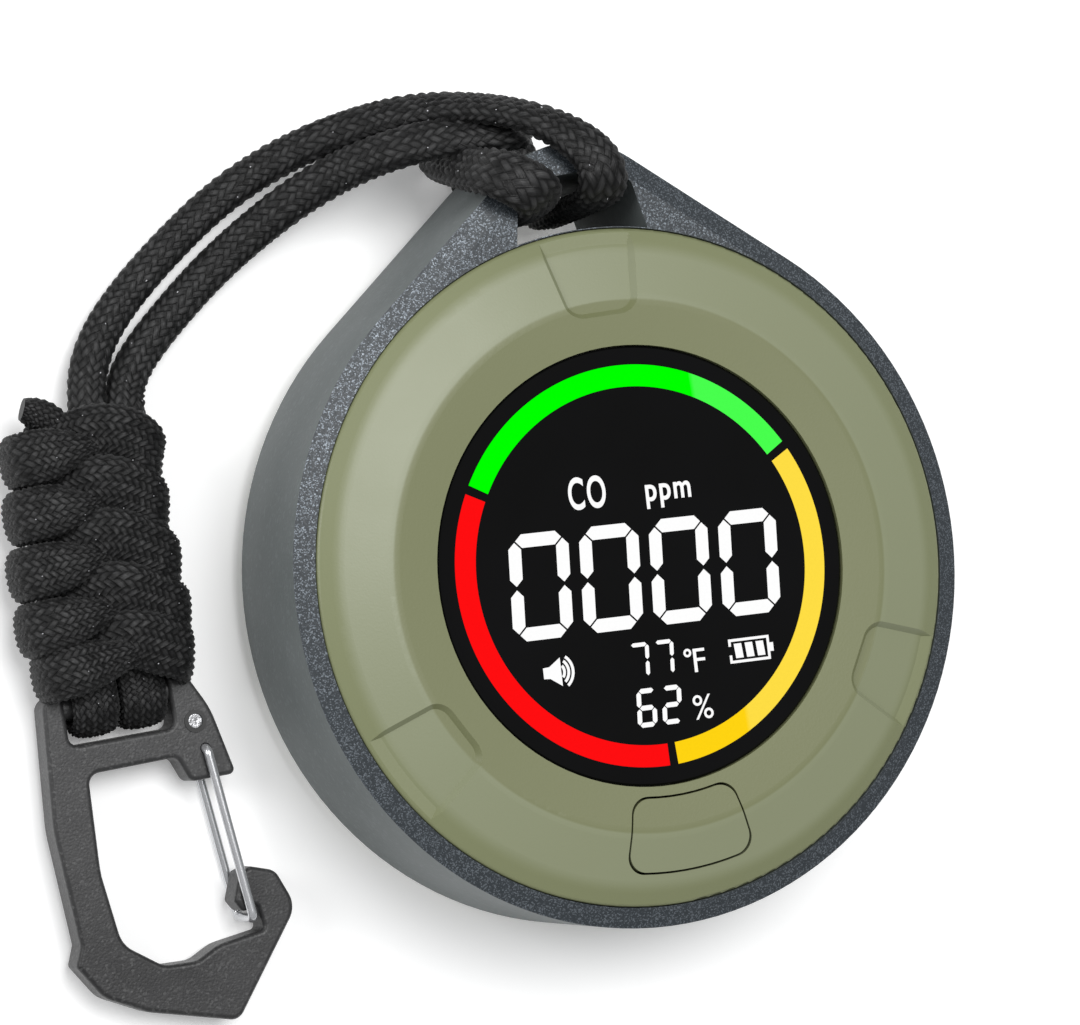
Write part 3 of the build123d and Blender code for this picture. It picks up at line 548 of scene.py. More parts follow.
def braid_tube(name, stops, steps, weave, seed, squareness=0.2, around=72):
    """A flat braided cord along its stops, with its stitches in relief.

    Each stop is a place, a width and thickness, and the direction that the flat side looks in.
    All three follow the same kind of spline. The weave is the length of a stitch and the count
    of yarns in each direction. Returns the piece and the line that it follows, in metres.
    """
    pitch, yarns = weave
    relief = bpy.context.scene.monitor_braid.relief
    random = np.random.default_rng(seed)
    line = read_spline([place for place, _, _ in stops], steps) * MM
    size = read_spline([(*size, 0.0) for _, size, _ in stops], steps) * MM
    face = read_spline([face for _, _, face in stops], steps)
    ahead = unit(np.gradient(line, axis=0))
    side = unit(np.cross(ahead, face))
    up = np.cross(side, ahead)
    run = np.concatenate([[0], np.cumsum(np.linalg.norm(np.diff(line, axis=0), axis=1))])
    wobble = sum(0.12 * np.sin(run / MM * rate + phase)
                 for rate, phase in zip((0.55, 1.3), random.uniform(0, 6.3, 2)))
    share = np.arange(around + 1) / around
    along = run[:, None] / pitch + wobble[:, None] + random.uniform(0, 4)
    one = along + yarns * share[None, :]
    other = along - yarns * share[None, :]
    height = (weave_height(one, other)[:, :-1] - 0.5) * relief
    fade = np.clip(np.minimum(run, run[-1] - run) / FADE, 0, 1)[:, None]
    flat_x, flat_z = flat_section(around, squareness).T
    wide, thick = size[:, 0:1], size[:, 1:2]
    norm = np.hypot(flat_x * thick, flat_z * wide)
    across = flat_x * wide / 2 + height * fade * flat_x * thick / norm
    tall = flat_z * thick / 2 + height * fade * flat_z * wide / norm
    rings = (line[:, None, :] + across[:, :, None] * side[:, None, :]
             + tall[:, :, None] * up[:, None, :])
    count = len(line)
    ring, step = np.meshgrid(np.arange(count - 1), np.arange(around), indexing="ij")
    after = (step + 1) % around
    quads = np.stack([ring * around + step, ring * around + after, (ring + 1) * around + after,
                      (ring + 1) * around + step], -1).reshape(-1, 4)
    caps = [list(range(around))[::-1], [(count - 1) * around + i for i in range(around)]]
    mesh = bpy.data.meshes.new(name)
    mesh.from_pydata(rings.reshape(-1, 3).tolist(), [], quads.tolist() + caps)
    corners = [np.stack([count_of[ring + d_ring, step + d_step] for count_of in (one, other)], -1)
               for d_ring, d_step in ((0, 0), (0, 1), (1, 1), (1, 0))]
    flat = np.concatenate([np.stack(corners, 2).reshape(-1, 2), np.zeros((2 * around, 2))])
    mesh.uv_layers.new(name="Yarns").data.foreach_set("uv", flat.ravel())
    mesh.polygons.foreach_set("use_smooth", [True] * len(quads) + [False, False])
    mesh.materials.append(braid_finish())
    return add_piece(name, mesh, "housing"), line


def turned(points, angle):
    """Plane points turned about the origin."""
    c, s = math.cos(angle), math.sin(angle)
    return [(x * c - y * s, x * s + y * c) for x, y in points]


def ring_sector(inner, outer, start, end, steps, middle=(0, 0)):
    """A sector of a ring as one polygon. Angles are clockwise from +Y, in degrees."""
    angles = [math.radians(start + (end - start) * i / steps) for i in range(steps + 1)]
    edge = [(outer * math.sin(a), outer * math.cos(a)) for a in angles]
    edge += [(inner * math.sin(a), inner * math.cos(a)) for a in reversed(angles)]
    return [(x + middle[0], y + middle[1]) for x, y in edge]


def rectangle(left, low, right, high):
    """A plain rectangle as a polygon."""
    return [(left, low), (right, low), (right, high), (left, high)]


def plates(name, outlines, low, high, material, body):
    """Thin flat plates with the given outlines, millimetres, between two heights in metres."""
    vertices, faces = [], []
    for outline in outlines:
        first, count = len(vertices), len(outline)
        after = outline[1:] + outline[:1]
        area = sum(x0 * y1 - x1 * y0 for (x0, y0), (x1, y1) in zip(outline, after))
        points = outline if area > 0 else outline[::-1]
        vertices += [(x * MM, y * MM, z) for z in (low, high) for x, y in points]
        bottom = [first + i for i in range(count)]
        top = [first + count + i for i in range(count)]
        faces += [bottom[::-1], top]
        faces += [[bottom[i - 1], bottom[i], top[i], top[i - 1]] for i in [*range(1, count), 0]]
    mesh = bpy.data.meshes.new(name)
    mesh.from_pydata(vertices, [], faces)
    mesh.validate()
    mesh.materials.append(material)
    return add_piece(name, mesh, body)


def digit_segments(left, bottom, width, height, stroke, gap, slant, lit):
    """The lit segments of a seven-segment digit with cut corners, as polygons.

    Segments are named a to g, clockwise from the top, with g in the middle.
    """
    cut = stroke * 1.05
    half = height / 2
    w, h, t = width, height, stroke
    near, slip = gap * 0.71, gap * 0.355
    tip, shoulder = gap, gap + stroke * 0.5
    shapes = {
        "a": [(cut, h), (w - cut, h), (w - cut / 2 - slip, h - cut / 2 + slip),
              (w - t - near, h - t), (t + near, h - t), (cut / 2 + slip, h - cut / 2 + slip)],
        "b": [(w, h - cut), (w, half + shoulder), (w - t / 2, half + tip), (w - t, half + shoulder),
              (w - t, h - t - near), (w - cut / 2 + slip, h - cut / 2 - slip)],
        "g": [(t * 0.5 + gap, half), (t + near, half + t / 2), (w - t - near, half + t / 2),
              (w - t * 0.5 - gap, half), (w - t - near, half - t / 2), (t + near, half - t / 2)],
    }
    shapes["d"] = [(x, h - y) for x, y in shapes["a"]]
    shapes["c"] = [(x, h - y) for x, y in shapes["b"]]
    shapes["e"] = [(w - x, h - y) for x, y in shapes["b"]]
    shapes["f"] = [(w - x, y) for x, y in shapes["b"]]
    return [[(left + x + slant * (bottom + y), bottom + y) for x, y in shapes[key]] for key in lit]


def lettering(name, text, left, bottom, height, width, material, weight):
    """Generic upright letters of the given box, as a flat mesh on the display."""
    curve = bpy.data.curves.new(name, "FONT")
    curve.body = text
    curve.size = 1.0
    curve.offset = weight
    curve.space_character = 1.15
    mesh = curve_mesh(name, curve)
    places = np.array([v.co[:] for v in mesh.vertices])
    low, high = places.min(0), places.max(0)
    display = bpy.context.scene.monitor_display
    flat = [(left + (x - low[0]) / (high[0] - low[0]) * width,
             bottom + (y - low[1]) / (high[1] - low[1]) * height) for x, y, _ in places]
    for vertex, (x, y) in zip(mesh.vertices, turned(flat, display.turn)):
        vertex.co = (x * MM, y * MM, LENS_TOP * MM + display.ink)
    mesh.materials.clear()
    mesh.materials.append(material)
    work = bmesh.new()
    work.from_mesh(mesh)
    bmesh.ops.remove_doubles(work, verts=work.verts, dist=1e-7)
    top = bmesh.ops.extrude_face_region(work, geom=work.faces[:])
    for element in top["geom"]:
        if isinstance(element, bmesh.types.BMVert):
            element.co.z -= display.ink - LIT_GAP * MM
    bmesh.ops.recalc_face_normals(work, faces=work.faces)
    work.to_mesh(mesh)
    work.free()
    return add_piece(name, mesh, "housing")


# ------------------------------------------------------------------ operators

class MONITOR_OT_stage(bpy.types.Operator):
    """Sets up the camera, the pale floor and the soft lights"""

    bl_idname = "monitor.stage"
    bl_label = "Studio"

    def execute(self, context):
        scene = context.scene
        studio = scene.monitor_studio
        scene.view_settings.view_transform = "Standard"
        camera = bpy.data.cameras.new("camera")
        camera.lens = studio.camera_lens
        camera.sensor_width = 36.0
        camera.sensor_fit = "HORIZONTAL"
        camera.clip_start = 0.01
        stand = add_object("camera", camera)
        stand.location = studio.camera_place
        stand.rotation_euler = studio.camera_turn
        scene.camera = stand

        material, s, shader = new_finish("floor_matt", Roughness=0.9, Specular_IOR_Level=0.1)
        soft = s.put("ShaderNodeTexNoise", {"Vector": object_place(s), "Scale": 6.0, "Detail": 3.0})
        tint = studio.floor_colour[:]
        s.dress(shader, Base_Color=s.blend(soft.outputs["Fac"], mixed(tint, 0.015, BLACK), tint),
                Emission_Color=tint, Emission_Strength=0.22)
        reach, low = 3.0, -0.03 * MM
        mesh = bpy.data.meshes.new("floor")
        mesh.from_pydata([(x, y, low) for x, y in rectangle(-reach, -reach, reach, reach)], [],
                         [(0, 1, 2, 3)])
        mesh.materials.append(material)
        add_object("floor", mesh)

        world = bpy.data.worlds.new("studio")
        world.use_nodes = True
        room = world.node_tree.nodes["Background"]
        room.inputs["Color"].default_value = (0.98, 0.99, 1.0, 1.0)
        room.inputs["Strength"].default_value = studio.sky_strength
        scene.world = world
        for name, place, size, power in (
                ("softbox", (0.05, 0.26, 0.92), 0.56, studio.key_power),
                ("left", (-0.75, 0.3, 0.5), 0.4, studio.key_power * 0.4)):
            light = bpy.data.lights.new(name, "AREA")
            light.shape = "DISK"
            light.size = size
            light.energy = power
            lamp = add_object(name, light)
            lamp.location = place
            lamp.rotation_euler = (-lamp.location).to_track_quat("-Z", "Y").to_euler()
        return {"FINISHED"}


class MONITOR_OT_shared_effects(bpy.types.Operator):
    """Builds the node groups that the finishes share"""

    bl_idname = "monitor.shared_effects"
    bl_label = "Shared effects"

    def execute(self, context):
        make_moulded_skin()
        make_metal_flakes()
        make_braid_yarns()
        return {"FINISHED"}


def braid_finish():
    """Charcoal yarn with painted shade darkening the grooves, fine fibres and a few painted glints.
    """
    found = bpy.data.materials.get("braided_yarn")
    if found:
        return found
    braid = bpy.context.scene.monitor_braid
    material, s, shader = new_finish("braided_yarn", Sheen_Weight=0.05, Sheen_Roughness=0.45,
                                     Specular_IOR_Level=0.24)
    uv = s.put("ShaderNodeUVMap", uv_map="Yarns").outputs["UV"]
    yarns = place_group(s, "Braid yarns", {"Vector": uv})
    colour = braid.colour[:]
    tone = uneven_tone(s, yarns["Tone"], colour, 0.6, 0.04)
    fibred = s.blend(s.span(yarns["Fibre"], 0.3, 0.7, 0.0, 0.55), tone, mixed(colour, 0.7, BLACK))
    # Painted shade: where the pillow falls off, the grooves between stitches are painted almost
    # black.
    depth = s.span(yarns["Pillow"], 0.0, 0.85, 0.97, 0.0)
    groove_shaded = s.blend(depth, fibred, mixed(colour, 0.95, BLACK))
    # Painted highlight: the glint dots are painted near white.
    s.dress(shader, Base_Color=s.blend(yarns["Glint"], groove_shaded, paint(205, 205, 210)),
            Roughness=s.span(yarns["Fibre"], 0.2, 0.8, 0.36, 0.6))
    ridges = s.calc("ADD", yarns["Pillow"], s.times(yarns["Fibre"], 0.35))
    bump(s, shader, ridges, 0.16 * MM)
    return material


class MONITOR_OT_cord_strands(bpy.types.Operator):
    """Makes the two strands of the lanyard's arch and the turns round the loop's bar"""

    bl_idname = "monitor.cord_strands"
    bl_label = "Cord strands"

    def execute(self, context):
        braid = context.scene.monitor_braid
        for name, stops, seed, nodes in (
                ("cord_outer", OUTER_STOPS, 3, ["lanyard_strand_outer"]),
                ("cord_inner", INNER_STOPS, 5, ["lanyard_hitch", "lanyard_strand_inner"])):
            piece, line = braid_tube(name, stops, 60, (braid.pitch, braid.yarns), seed,
                                     squareness=0.25)
            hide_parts(*nodes)
            piece["line"] = line[::4].ravel().tolist()
        return {"FINISHED"}


class MONITOR_OT_knot(bpy.types.Operator):
    bl_idname = "monitor.knot"
    bl_label = "Knot"

    def execute(self, context):
        knot = context.scene.monitor_knot
        wide, thick = knot.band_width / MM, knot.band_thickness / MM
        front, back = knot.front / MM, knot.back / MM
        mid = (front + back) / 2
        weave = (knot.pitch, knot.yarns)
        pieces = []
        for number, ((xs, ys), (xm, ym), (xr, yr), (xl, yl), (xt, yt)) in enumerate(KNOT_TURNS):
            bands = [
                ((xs + 1.8, ys - 0.4, mid - 0.5), (0, 0, 1), 0.6),
                ((xs + 0.3, ys - 0.4, front - 3.2), (-0.2, 0.1, 1), 0.75),
                ((xs + 3.0, ym - 0.1, front - 1.5), (-0.3, 0, 1), 1.0),
                ((xm + 0.6, ym + 0.5, front + 0.5), (0, -0.25, 1), 1.1),
                ((xm + 4.5, ym - 1.3, front + 0.3), (0.15, -0.25, 1), 1.1),
                ((xr - 1.5, yr + 0.4, front - 0.5), (0.8, -0.2, 0.8), 1.0),
                ((xr - 1.2, yr, mid + 0.6), (1, 0, 0), 1.0),
                ((xr - 1.5, yr - 0.5, back + 0.5), (0.8, 0, -0.8), 0.9),
                ((xr - 5.0, yr - 1.0, back), (0, 0, -1), 1.0),
                ((xl + 5.5, yl + 0.2, back), (0, 0, -1), 1.0),
                ((xl + 1.5, yl, back + 0.5), (-0.8, 0, -0.8), 0.9),
                ((xl + 0.9, yl, mid), (-1, 0, 0), 1.0),
                ((xl + 1.3, yl + 0.1, front - 0.6), (-0.8, 0, 0.8), 1.0),
                ((xl + 4.2, yl + 0.3, front + 0.3), (-0.1, 0, 1), 0.98),
                ((xt - 1.6, yt + 1.0, front + 0.1), (0.1, 0, 1), 0.55),
                ((xt + 1.6, yt + 1.2, front - 1.2), (0.4, 0, 1), 0.25),
            ]
            stops = [(place, (wide * share, thick * (1.3 - 0.3 * share)), face)
                     for place, face, share in bands]
            pieces.append(braid_tube(f"knot_turn_{number + 1}", stops, 14, weave, 20 + number,
                                     around=88)[0])
        for number, points in enumerate(CORE_STRANDS):
            stops = [((x, y, mid), size, (0, 0, 1)) for (x, y), size in zip(points, CORE_SIZES)]
            pieces.append(braid_tube(f"knot_core_{number + 1}", stops, 120, weave, 40 + number,
                                     around=88)[0])
        tail = [((x, y, mid + rise), size, (-0.3, 0, 1)) for x, y, rise, size in (
            (-52.8, 21.4, 0.6, (4.1, 2.3)), (-54.6, 23.8, 1.4, (3.9, 2.3)),
            (-56.2, 25.3, 1.8, (3.2, 2.2)), (-57.5, 25.8, 1.8, (2.3, 1.8)))]
        pieces.append(braid_tube("knot_tail", tail, 30, weave, 50)[0])
        eyes = []
        corners = [math.radians(45 * i + 67.5) for i in range(6)]
        reach = EYE_TURN_R / math.cos(math.radians(22.5))
        for number, x in enumerate(EYE_CENTRES):
            bend = [((x, BAR_Y + reach * math.cos(a), BAR_Z + reach * math.sin(a)), EYE_SIZE,
                     (0, math.cos(a), math.sin(a))) for a in corners]
            stops = [((x, 2.4, BAR_Z + EYE_TURN_R + 0.4), EYE_SIZE, (0, 0, 1)), *bend,
                     ((x, 2.4, BAR_Z - EYE_TURN_R + 0.1), EYE_SIZE, (0, 0, -1))]
            eyes.append(braid_tube(f"eye_turn_{number + 1}", stops, 32, weave, 60 + number)[0])
        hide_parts("lanyard_knot")
        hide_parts("lanyard_eye")

        on_cord = [*pieces, *eyes, NODES["carabiner_body"], NODES["gate_rivet"], NODES["gate_wire"]]
        for name, length, with_pieces in (("cord_outer", OUTER_LENGTH, on_cord),
                                          ("cord_inner", INNER_LENGTH, [])):
            cord = bpy.data.objects[name]
            del cord["line"]
        return {"FINISHED"}


class MONITOR_OT_case(bpy.types.Operator):
    """Finishes the frame, both covers, the button and the parts seen from behind"""

    bl_idname = "monitor.case"
    bl_label = "Case"

    def execute(self, context):
        case = context.scene.monitor_case
        wear("mid_frame", self.frame_finish(case))
        olive = self.cover_finish(case)
        for node in ("front_cover", "back_cover", "button_cap"):
            wear(node, olive)
        wear("case_screws", moulded_finish("screw_black_oxide", paint(36, 37, 40), 0.38, 9000.0,
                                           0.006, Metallic=0.85))
        wear("vent_mesh", moulded_finish("vent_mesh_black", paint(16, 16, 17), 0.8, 4200.0, 0.1))
        self.pad_print()
        return {"FINISHED"}

    def frame_finish(self, case):
        """Matt grey plastic on the wall, and sparkling flakes on the front and back rims."""
        material, s, shader = new_finish("frame_plastic", Specular_IOR_Level=0.4)
        normal = s.put("ShaderNodeTexCoord").outputs["Normal"]
        facing = s.put("ShaderNodeSeparateXYZ", {"Vector": normal})
        on_face = s.span(s.calc("ABSOLUTE", facing.outputs["Z"]), 0.12, 0.2, 0.0, 1.0)
        skin = moulded_skin(s, 3600.0)
        flakes = metal_flakes(s, scale=8600.0, share=0.36, tilt=1.2)
        faint = metal_flakes(s, scale=2600.0, share=0.2, tilt=0.0)
        side = uneven_tone(s, skin["Tone"], case.frame_wall[:], 0.1, 0.04)
        side = s.blend(s.times(faint["Flake"], 0.12), side, paint(150, 156, 158))
        glitter = s.blend(s.times(flakes["Flake"], 0.6), mixed(case.frame_face[:], 0.25, BLACK),
                          case.flake[:])
        s.dress(shader, Base_Color=s.blend(on_face, side, glitter),
                Metallic=s.times(s.times(flakes["Flake"], on_face), 0.8),
                Roughness=s.span(on_face, 0.0, 1.0, 0.62, 0.4))
        bump(s, shader, skin["Grain"], 0.03 * MM)
        return material

    def cover_finish(self, case):
        """Satin olive. The band round the window has a slightly darker olive of its own, darkened
        further by painted shade, and the rim's darker, warmer olive is painted shade on its
        rounding.
        """
        material, s, shader = new_finish("cover_plastic", Specular_IOR_Level=0.42, Coat_Weight=0.05,
                                         Coat_Roughness=0.35)
        skin = moulded_skin(s, 5200.0)
        radius = s.vector("LENGTH", s.vector("MULTIPLY", object_place(s), (1, 1, 0)))
        # Painted shade by radius: inside the crease the band's olive is darkened past its own tone,
        # and past the shoulder the rim gets a darker, warmer olive as the shade on its rounding.
        outside = s.span(radius, (CREASE_R - 0.12) * MM, (CREASE_R + 0.12) * MM, 0.0, 1.0)
        rim = s.span(radius, (SHOULDER_R - 0.6) * MM, (SHOULDER_R + 0.9) * MM, 0.0, 1.0,
                     smooth=True)
        colour = s.blend(outside, case.cover_band_and_shade[:], case.cover_light[:])
        colour = s.blend(rim, colour, case.cover_rim_shaded[:])
        colour = s.blend(s.times(skin["Tone"], 0.07), colour, paint(110, 112, 70))
        s.dress(shader, Base_Color=colour, Roughness=s.span(skin["Tone"], 0.0, 1.0, 0.35, 0.41))
        bump(s, shader, skin["Grain"], 0.008 * MM)
        return material

    def pad_print(self):
        """A horseshoe magnet with field lines, printed on the back pad."""
        white = moulded_finish("pad_print_white", paint(240, 240, 232), 0.6, 6000.0, 0.004, 0.04)
        shapes = [ring_sector(2.9, 5.6, 90, 270, 40, (0, -1.2))]
        shapes += [rectangle(left, low, right, high) for low, high in ((-1.2, 2.4), (2.9, 4.9))
                   for left, right in ((2.9, 5.6), (-5.6, -2.9))]
        shapes += [ring_sector(r, r + 0.55, -42, 42, 20, (0, 3.2)) for r in (3.4, 4.9)]
        shapes = [turned(shape, math.radians(-40)) for shape in shapes]
        plates("pad_print", shapes, -0.02 * MM, 0.001 * MM, white, "housing")


class MONITOR_OT_display(bpy.types.Operator):
    """Makes the black window, the coloured ring and the readout"""

    bl_idname = "monitor.display"
    bl_label = "Display"

    def execute(self, context):
        display = context.scene.monitor_display
        wear("display_lens", self.window_finish())
        low, high = (LENS_TOP + LIT_GAP) * MM, LENS_TOP * MM + display.ink
        inner, outer = display.ring_inner / MM, display.ring_outer / MM
        gap = math.degrees(display.ring_gap / display.ring_outer) / 2
        # The second colour of each sector is a painted reflection: the window's glare, painted as a
        # paler tone on the ring's right side.
        for name, start, end, colour, pale in (
                ("ring_green", -59.3, 61.6, paint(0, 255, 0), paint(72, 255, 78)),
                ("ring_yellow", 61.6, 180.6, paint(255, 212, 18), paint(255, 222, 68)),
                ("ring_red", 180.6, 300.7, paint(255, 14, 17), paint(255, 60, 60))):
            plates(name, [ring_sector(inner, outer, start + gap, end - gap, 96)], low, high,
                   self.lit_finish(name, colour, pale), "housing")
        white = self.lit_finish("readout_white", paint(255, 255, 255), paint(255, 255, 255))
        shapes = []
        for left in (-14.75, -6.95, 0.85, 8.7):
            shapes += digit_segments(left, bottom=-6.3, width=6.62, height=10.8, stroke=1.38,
                                     gap=0.18, slant=0.062, lit="abcdef")
        for left, bottom, height, stroke, lit in (
                (-2.05, -11.45, 3.65, 0.42, "abc"), (0.72, -11.45, 3.65, 0.42, "abc"),
                (-1.5, -16.45, 3.95, 0.5, "acdefg"), (1.32, -16.45, 3.95, 0.5, "abdeg")):
            shapes += digit_segments(left, bottom, 2.2, height, stroke, gap=0.08, slant=0.07,
                                     lit=lit)
        shapes += self.battery() + self.speaker()
        shapes.append(ring_sector(0.2, 0.44, 0, 359, 24, (3.78, -9.45)))
        shapes = [turned(shape, display.turn) for shape in shapes]
        plates("readout_shapes", shapes, low, high, white, "housing")
        for name, text, left, bottom, height, width, weight in (
                ("readout_gas", "CO", -7.35, 6.3, 3.35, 4.15, 0.018),
                ("readout_unit", "ppm", 1.2, 5.65, 2.5, 5.1, 0.02),
                ("readout_degrees", "F", 4.4, -11.5, 2.4, 1.3, 0.0),
                ("readout_percent", "%", 3.75, -16.35, 2.5, 2.2, 0.0)):
            lettering(name, text, left, bottom, height, width, white, weight)
        return {"FINISHED"}

    def window_finish(self):
        """Black glass with a faint mottle and the finest orange peel."""
        material, s, shader = new_finish("window_black", Roughness=0.06, Specular_IOR_Level=0.12)
        skin = moulded_skin(s, 900.0)
        s.dress(shader, Base_Color=s.blend(skin["Tone"], paint(10, 10, 10), paint(13, 13, 14)),
                Roughness=s.span(skin["Tone"], 0.0, 1.0, 0.05, 0.065))
        bump(s, shader, skin["Grain"], 0.0002 * MM)
        return material

    def lit_finish(self, name, colour, pale):
        """A lit colour under the window, with a painted reflection of the window's glare that turns
        it paler on its right side.
        """
        material, s, shader = new_finish(name, Roughness=0.3, Specular_IOR_Level=0.0)
        across = s.put("ShaderNodeSeparateXYZ", {"Vector": object_place(s)})
        # Painted reflection: from x = 8.5 to 9 mm on, the colour turns paler, standing in for the
        # window's glare.
        side = s.span(across.outputs["X"], 8.5 * MM, 9.0 * MM, 0.0, 1.0)
        grid = s.put("ShaderNodeTexNoise", {"Vector": object_place(s), "Scale": 4000.0})
        lit = s.blend(side, colour, pale)
        lit = s.blend(s.span(grid.outputs["Fac"], 0.3, 0.7, 0.0, 0.03), lit, BLACK)
        s.dress(shader, Base_Color=s.blend(0.95, lit, BLACK), Emission_Color=lit,
                Emission_Strength=0.95)
        return material

    def battery(self):
        """Three charge bars in a rounded outline, open at the left."""
        left, right, low, high, line = 8.5, 13.15, -11.1, -8.6, 0.28
        outline = [rectangle(left, high - line, right, high),
                   rectangle(left, low, right, low + line),
                   rectangle(right - line, low, right, high),
                   rectangle(left, low, left + line, low + 0.85),
                   rectangle(left, high - 0.75, left + line, high),
                   rectangle(right, -10.3, right + 0.42, -9.4)]
        bars = [[(x + 0.12, -10.6), (x, -9.1), (x + 0.85, -9.1), (x + 0.97, -10.6)]
                for x in (9.1, 10.35, 11.6)]
        return outline + bars

    def speaker(self):
        """A loudspeaker with three sound arcs."""
        middle = -9.75
        cone = [(-12.3, middle - 0.55), (-12.3, middle + 0.55), (-11.6, middle + 0.6),
                (-10.35, middle + 1.45), (-10.35, middle - 1.45), (-11.6, middle - 0.6)]
        arcs = [ring_sector(r, r + 0.3, 90 - a, 90 + a, 14, (-10.9, middle))
                for r, a in ((0.75, 40), (1.22, 50), (1.7, 52))]
        return [cone] + arcs


class MONITOR_OT_carabiner(bpy.types.Operator):
    """Finishes the moulded hook, its stop pin and its wire gate"""

    bl_idname = "monitor.carabiner"
    bl_label = "Carabiner"

    def execute(self, context):
        clip = context.scene.monitor_clip
        material, s, shader = new_finish("carabiner_plastic", Specular_IOR_Level=0.42)
        skin = moulded_skin(s, 4600.0)
        flakes = metal_flakes(s, scale=4200.0, share=0.16, tilt=0.5)
        tone = uneven_tone(s, skin["Tone"], clip.plastic[:], 0.2, 0.03)
        flecked = s.blend(s.times(flakes["Flake"], 0.13), tone, paint(150, 150, 150))
        s.dress(shader, Base_Color=flecked, Roughness=s.span(skin["Grain"], 0.2, 0.8, 0.36, 0.52))
        bump(s, shader, skin["Grain"], 0.035 * MM)
        wear("carabiner_body", material)
        steel = clip.steel[:]
        wear("gate_wire", moulded_finish("gate_chrome", steel, 0.24, 2500.0, 0.003, 0.05,
                                         Metallic=0.75))
        wear("gate_rivet", moulded_finish("pin_steel", mixed(steel, 0.6, BLACK), 0.3, 3000.0, 0.08,
                                          0.1, Metallic=1.0))
        low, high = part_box("gate_rivet")
        # Painted shadow: a near-black ring plate round the pin head stands in for the shade in the
        # hole round it.
        shadow = moulded_finish("pin_recess_painted_shadow", paint(14, 14, 14), 0.6, 6000.0, 0.01,
                                Specular_IOR_Level=0.05)
        middle = ((low.x + high.x) / 2 / MM, (low.y + high.y) / 2 / MM)
        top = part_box("carabiner_body")[1].z
        recess = [ring_sector(0.78, 1.16, start, start + 180, 24, middle) for start in (0, 180)]
        plates("gate_pin_recess", recess, top - 0.01 * MM, high.z + 0.02 * MM, shadow, "carabiner")
        return {"FINISHED"}


class MONITOR_OT_charging_port(bpy.types.Operator):
    """Finishes the charging socket and adds its contacts"""

    bl_idname = "monitor.charging_port"
    bl_label = "Charging port"

    def execute(self, context):
        wear("usb_socket", moulded_finish("socket_steel", paint(176, 178, 182), 0.28, 6000.0, 0.01,
                                          Metallic=1.0))
        wear("usb_tongue", moulded_finish("tongue_black", paint(24, 24, 26), 0.5, 5000.0, 0.01))
        gold = moulded_finish("contact_gold", paint(222, 184, 104), 0.28, 8000.0, 0.004,
                              Metallic=1.0)
        low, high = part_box("usb_tongue")
        middle = (low.y + high.y) / 2 / MM
        pads = [rectangle(x - 0.13, middle + side * 0.35, x + 0.13, middle + side * 0.4)
                for side in (-1, 1) for x in (-2.75 + 0.5 * i for i in range(12))]
        plates("port_contacts", pads, low.z + 0.3 * MM, low.z + 4.0 * MM, gold, "housing")
        return {"FINISHED"}


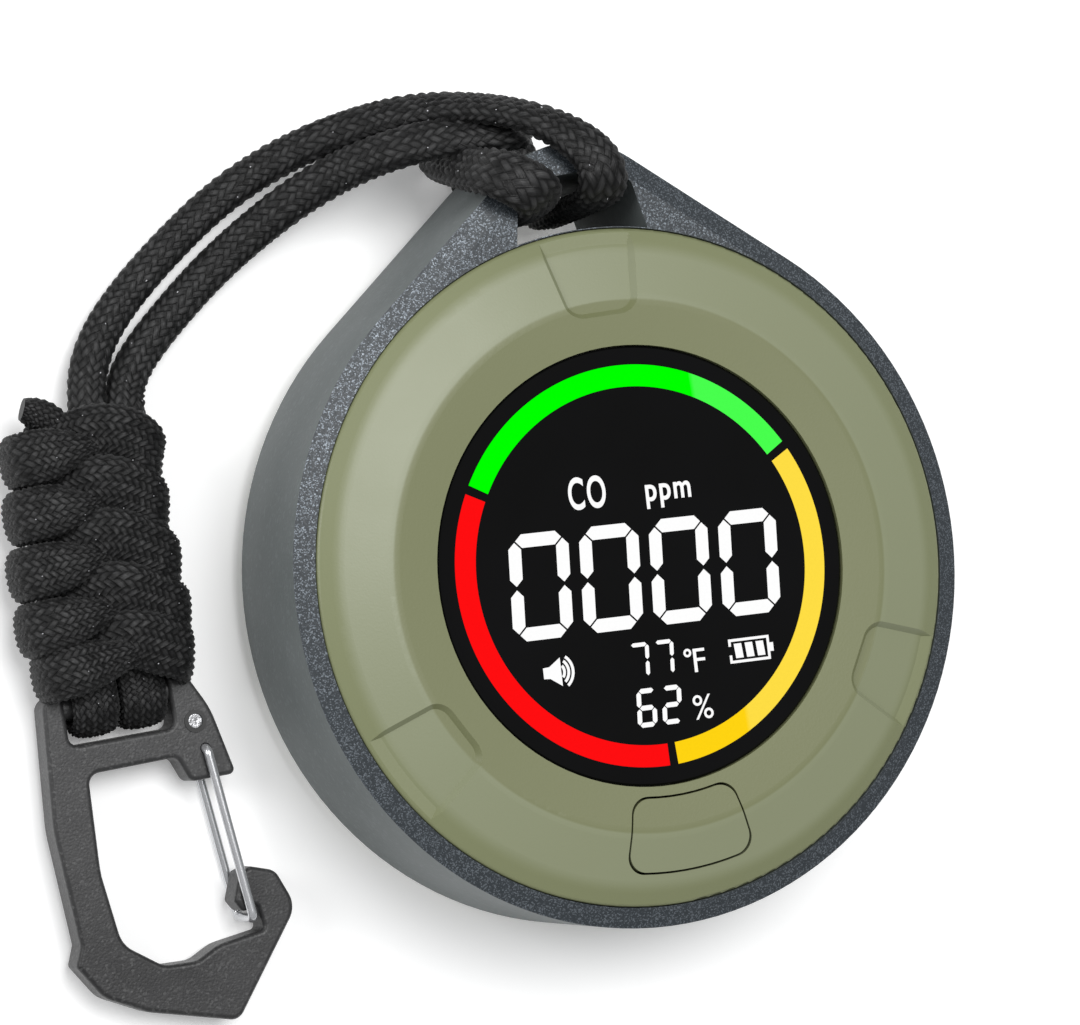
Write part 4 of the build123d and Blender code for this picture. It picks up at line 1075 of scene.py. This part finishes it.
class MONITOR_OT_inside(bpy.types.Operator):
    """Finishes the pieces inside the case"""

    bl_idname = "monitor.inside"
    bl_label = "Inside"

    def execute(self, context):
        for node, name, colour, roughness, metallic, grain, depth in (
                ("lens_adhesive", "foam_tape", (22, 22, 23), 0.9, 0, 3000, 0.03),
                ("display_panel", "panel_glass", (18, 20, 24), 0.2, 0, 1200, 0.001),
                ("display_backlight", "light_guide", (236, 238, 240), 0.4, 0, 2500, 0.01),
                ("display_ribbon", "ribbon_amber", (196, 128, 44), 0.35, 0, 2500, 0.005),
                ("tact_switch", "switch_black", (30, 30, 32), 0.5, 0, 6000, 0.01),
                ("tact_switch_stem", "switch_stem_brown", (92, 62, 44), 0.55, 0, 6000, 0.01),
                ("main_board", "solder_mask_green", (22, 84, 52), 0.35, 0, 1800, 0.01),
                ("board_chips", "chip_black", (34, 34, 37), 0.6, 0, 8000, 0.01),
                ("board_screws", "board_screw_steel", (150, 152, 156), 0.3, 1, 8000, 0.008),
                ("co_sensor", "sensor_can_gold", (186, 158, 96), 0.35, 1, 3000, 0.006),
                ("co2_sensor", "sensor_can_steel", (180, 182, 186), 0.35, 1, 3000, 0.006),
                ("climate_sensor", "sensor_case_black", (28, 28, 30), 0.5, 0, 8000, 0.01),
                ("buzzer", "buzzer_black", (26, 26, 27), 0.6, 0, 5000, 0.01),
                ("magnet", "magnet_nickel", (196, 198, 200), 0.22, 1, 2000, 0.004),
                ("magnet_plate", "plate_zinc", (168, 170, 174), 0.4, 1, 2600, 0.01),
                ("battery_tape", "mounting_tape", (206, 204, 196), 0.8, 0, 4000, 0.02),
                ("battery", "battery_foil", (170, 174, 180), 0.34, 1, 900, 0.05),
                ("battery_leads", "lead_red", (176, 30, 26), 0.45, 0, 6000, 0.01),
                ("battery_connector", "connector_white", (228, 226, 216), 0.5, 0, 6000, 0.01)):
            wear(node, moulded_finish(name, paint(*colour), roughness, grain, depth,
                                      Metallic=float(metallic)))
        return {"FINISHED"}


class MONITOR_PT_parts(bpy.types.Panel):
    """Shows a button for each building step, and the settings"""

    bl_label = "Gas monitor"
    bl_idname = "MONITOR_PT_parts"
    bl_space_type = "VIEW_3D"
    bl_region_type = "UI"
    bl_category = "Monitor"

    def draw(self, context):
        layout = self.layout
        for operator in OPERATORS:
            layout.operator(operator.bl_idname)
        for name, group in SETTINGS.items():
            box = layout.box()
            box.label(text=group.__doc__)
            for field in group.__annotations__:
                box.prop(getattr(context.scene, name), field)


SETTINGS = {
    "monitor_studio": MonitorStudioSettings, "monitor_braid": MonitorBraidSettings,
    "monitor_knot": MonitorKnotSettings, "monitor_case": MonitorCaseSettings,
    "monitor_display": MonitorDisplaySettings, "monitor_clip": MonitorClipSettings,
}
OPERATORS = (MONITOR_OT_stage, MONITOR_OT_shared_effects, MONITOR_OT_cord_strands, MONITOR_OT_knot,
             MONITOR_OT_case, MONITOR_OT_display, MONITOR_OT_carabiner, MONITOR_OT_charging_port,
             MONITOR_OT_inside)


def register():
    for group in (*SETTINGS.values(), *OPERATORS, MONITOR_PT_parts):
        bpy.utils.register_class(group)
    for name, group in SETTINGS.items():
        setattr(bpy.types.Scene, name, PointerProperty(type=group))


def unregister():
    for name in SETTINGS:
        delattr(bpy.types.Scene, name)
    for group in (MONITOR_PT_parts, *reversed(OPERATORS), *reversed(SETTINGS.values())):
        bpy.utils.unregister_class(group)


def main():
    """Builds everything in order."""
    register()
    bpy.ops.monitor.stage()
    bpy.ops.monitor.shared_effects()
    bpy.ops.monitor.cord_strands()
    bpy.ops.monitor.knot()
    bpy.ops.monitor.case()
    bpy.ops.monitor.display()
    bpy.ops.monitor.carabiner()
    bpy.ops.monitor.charging_port()
    bpy.ops.monitor.inside()


if __name__ == "__main__":
    main()
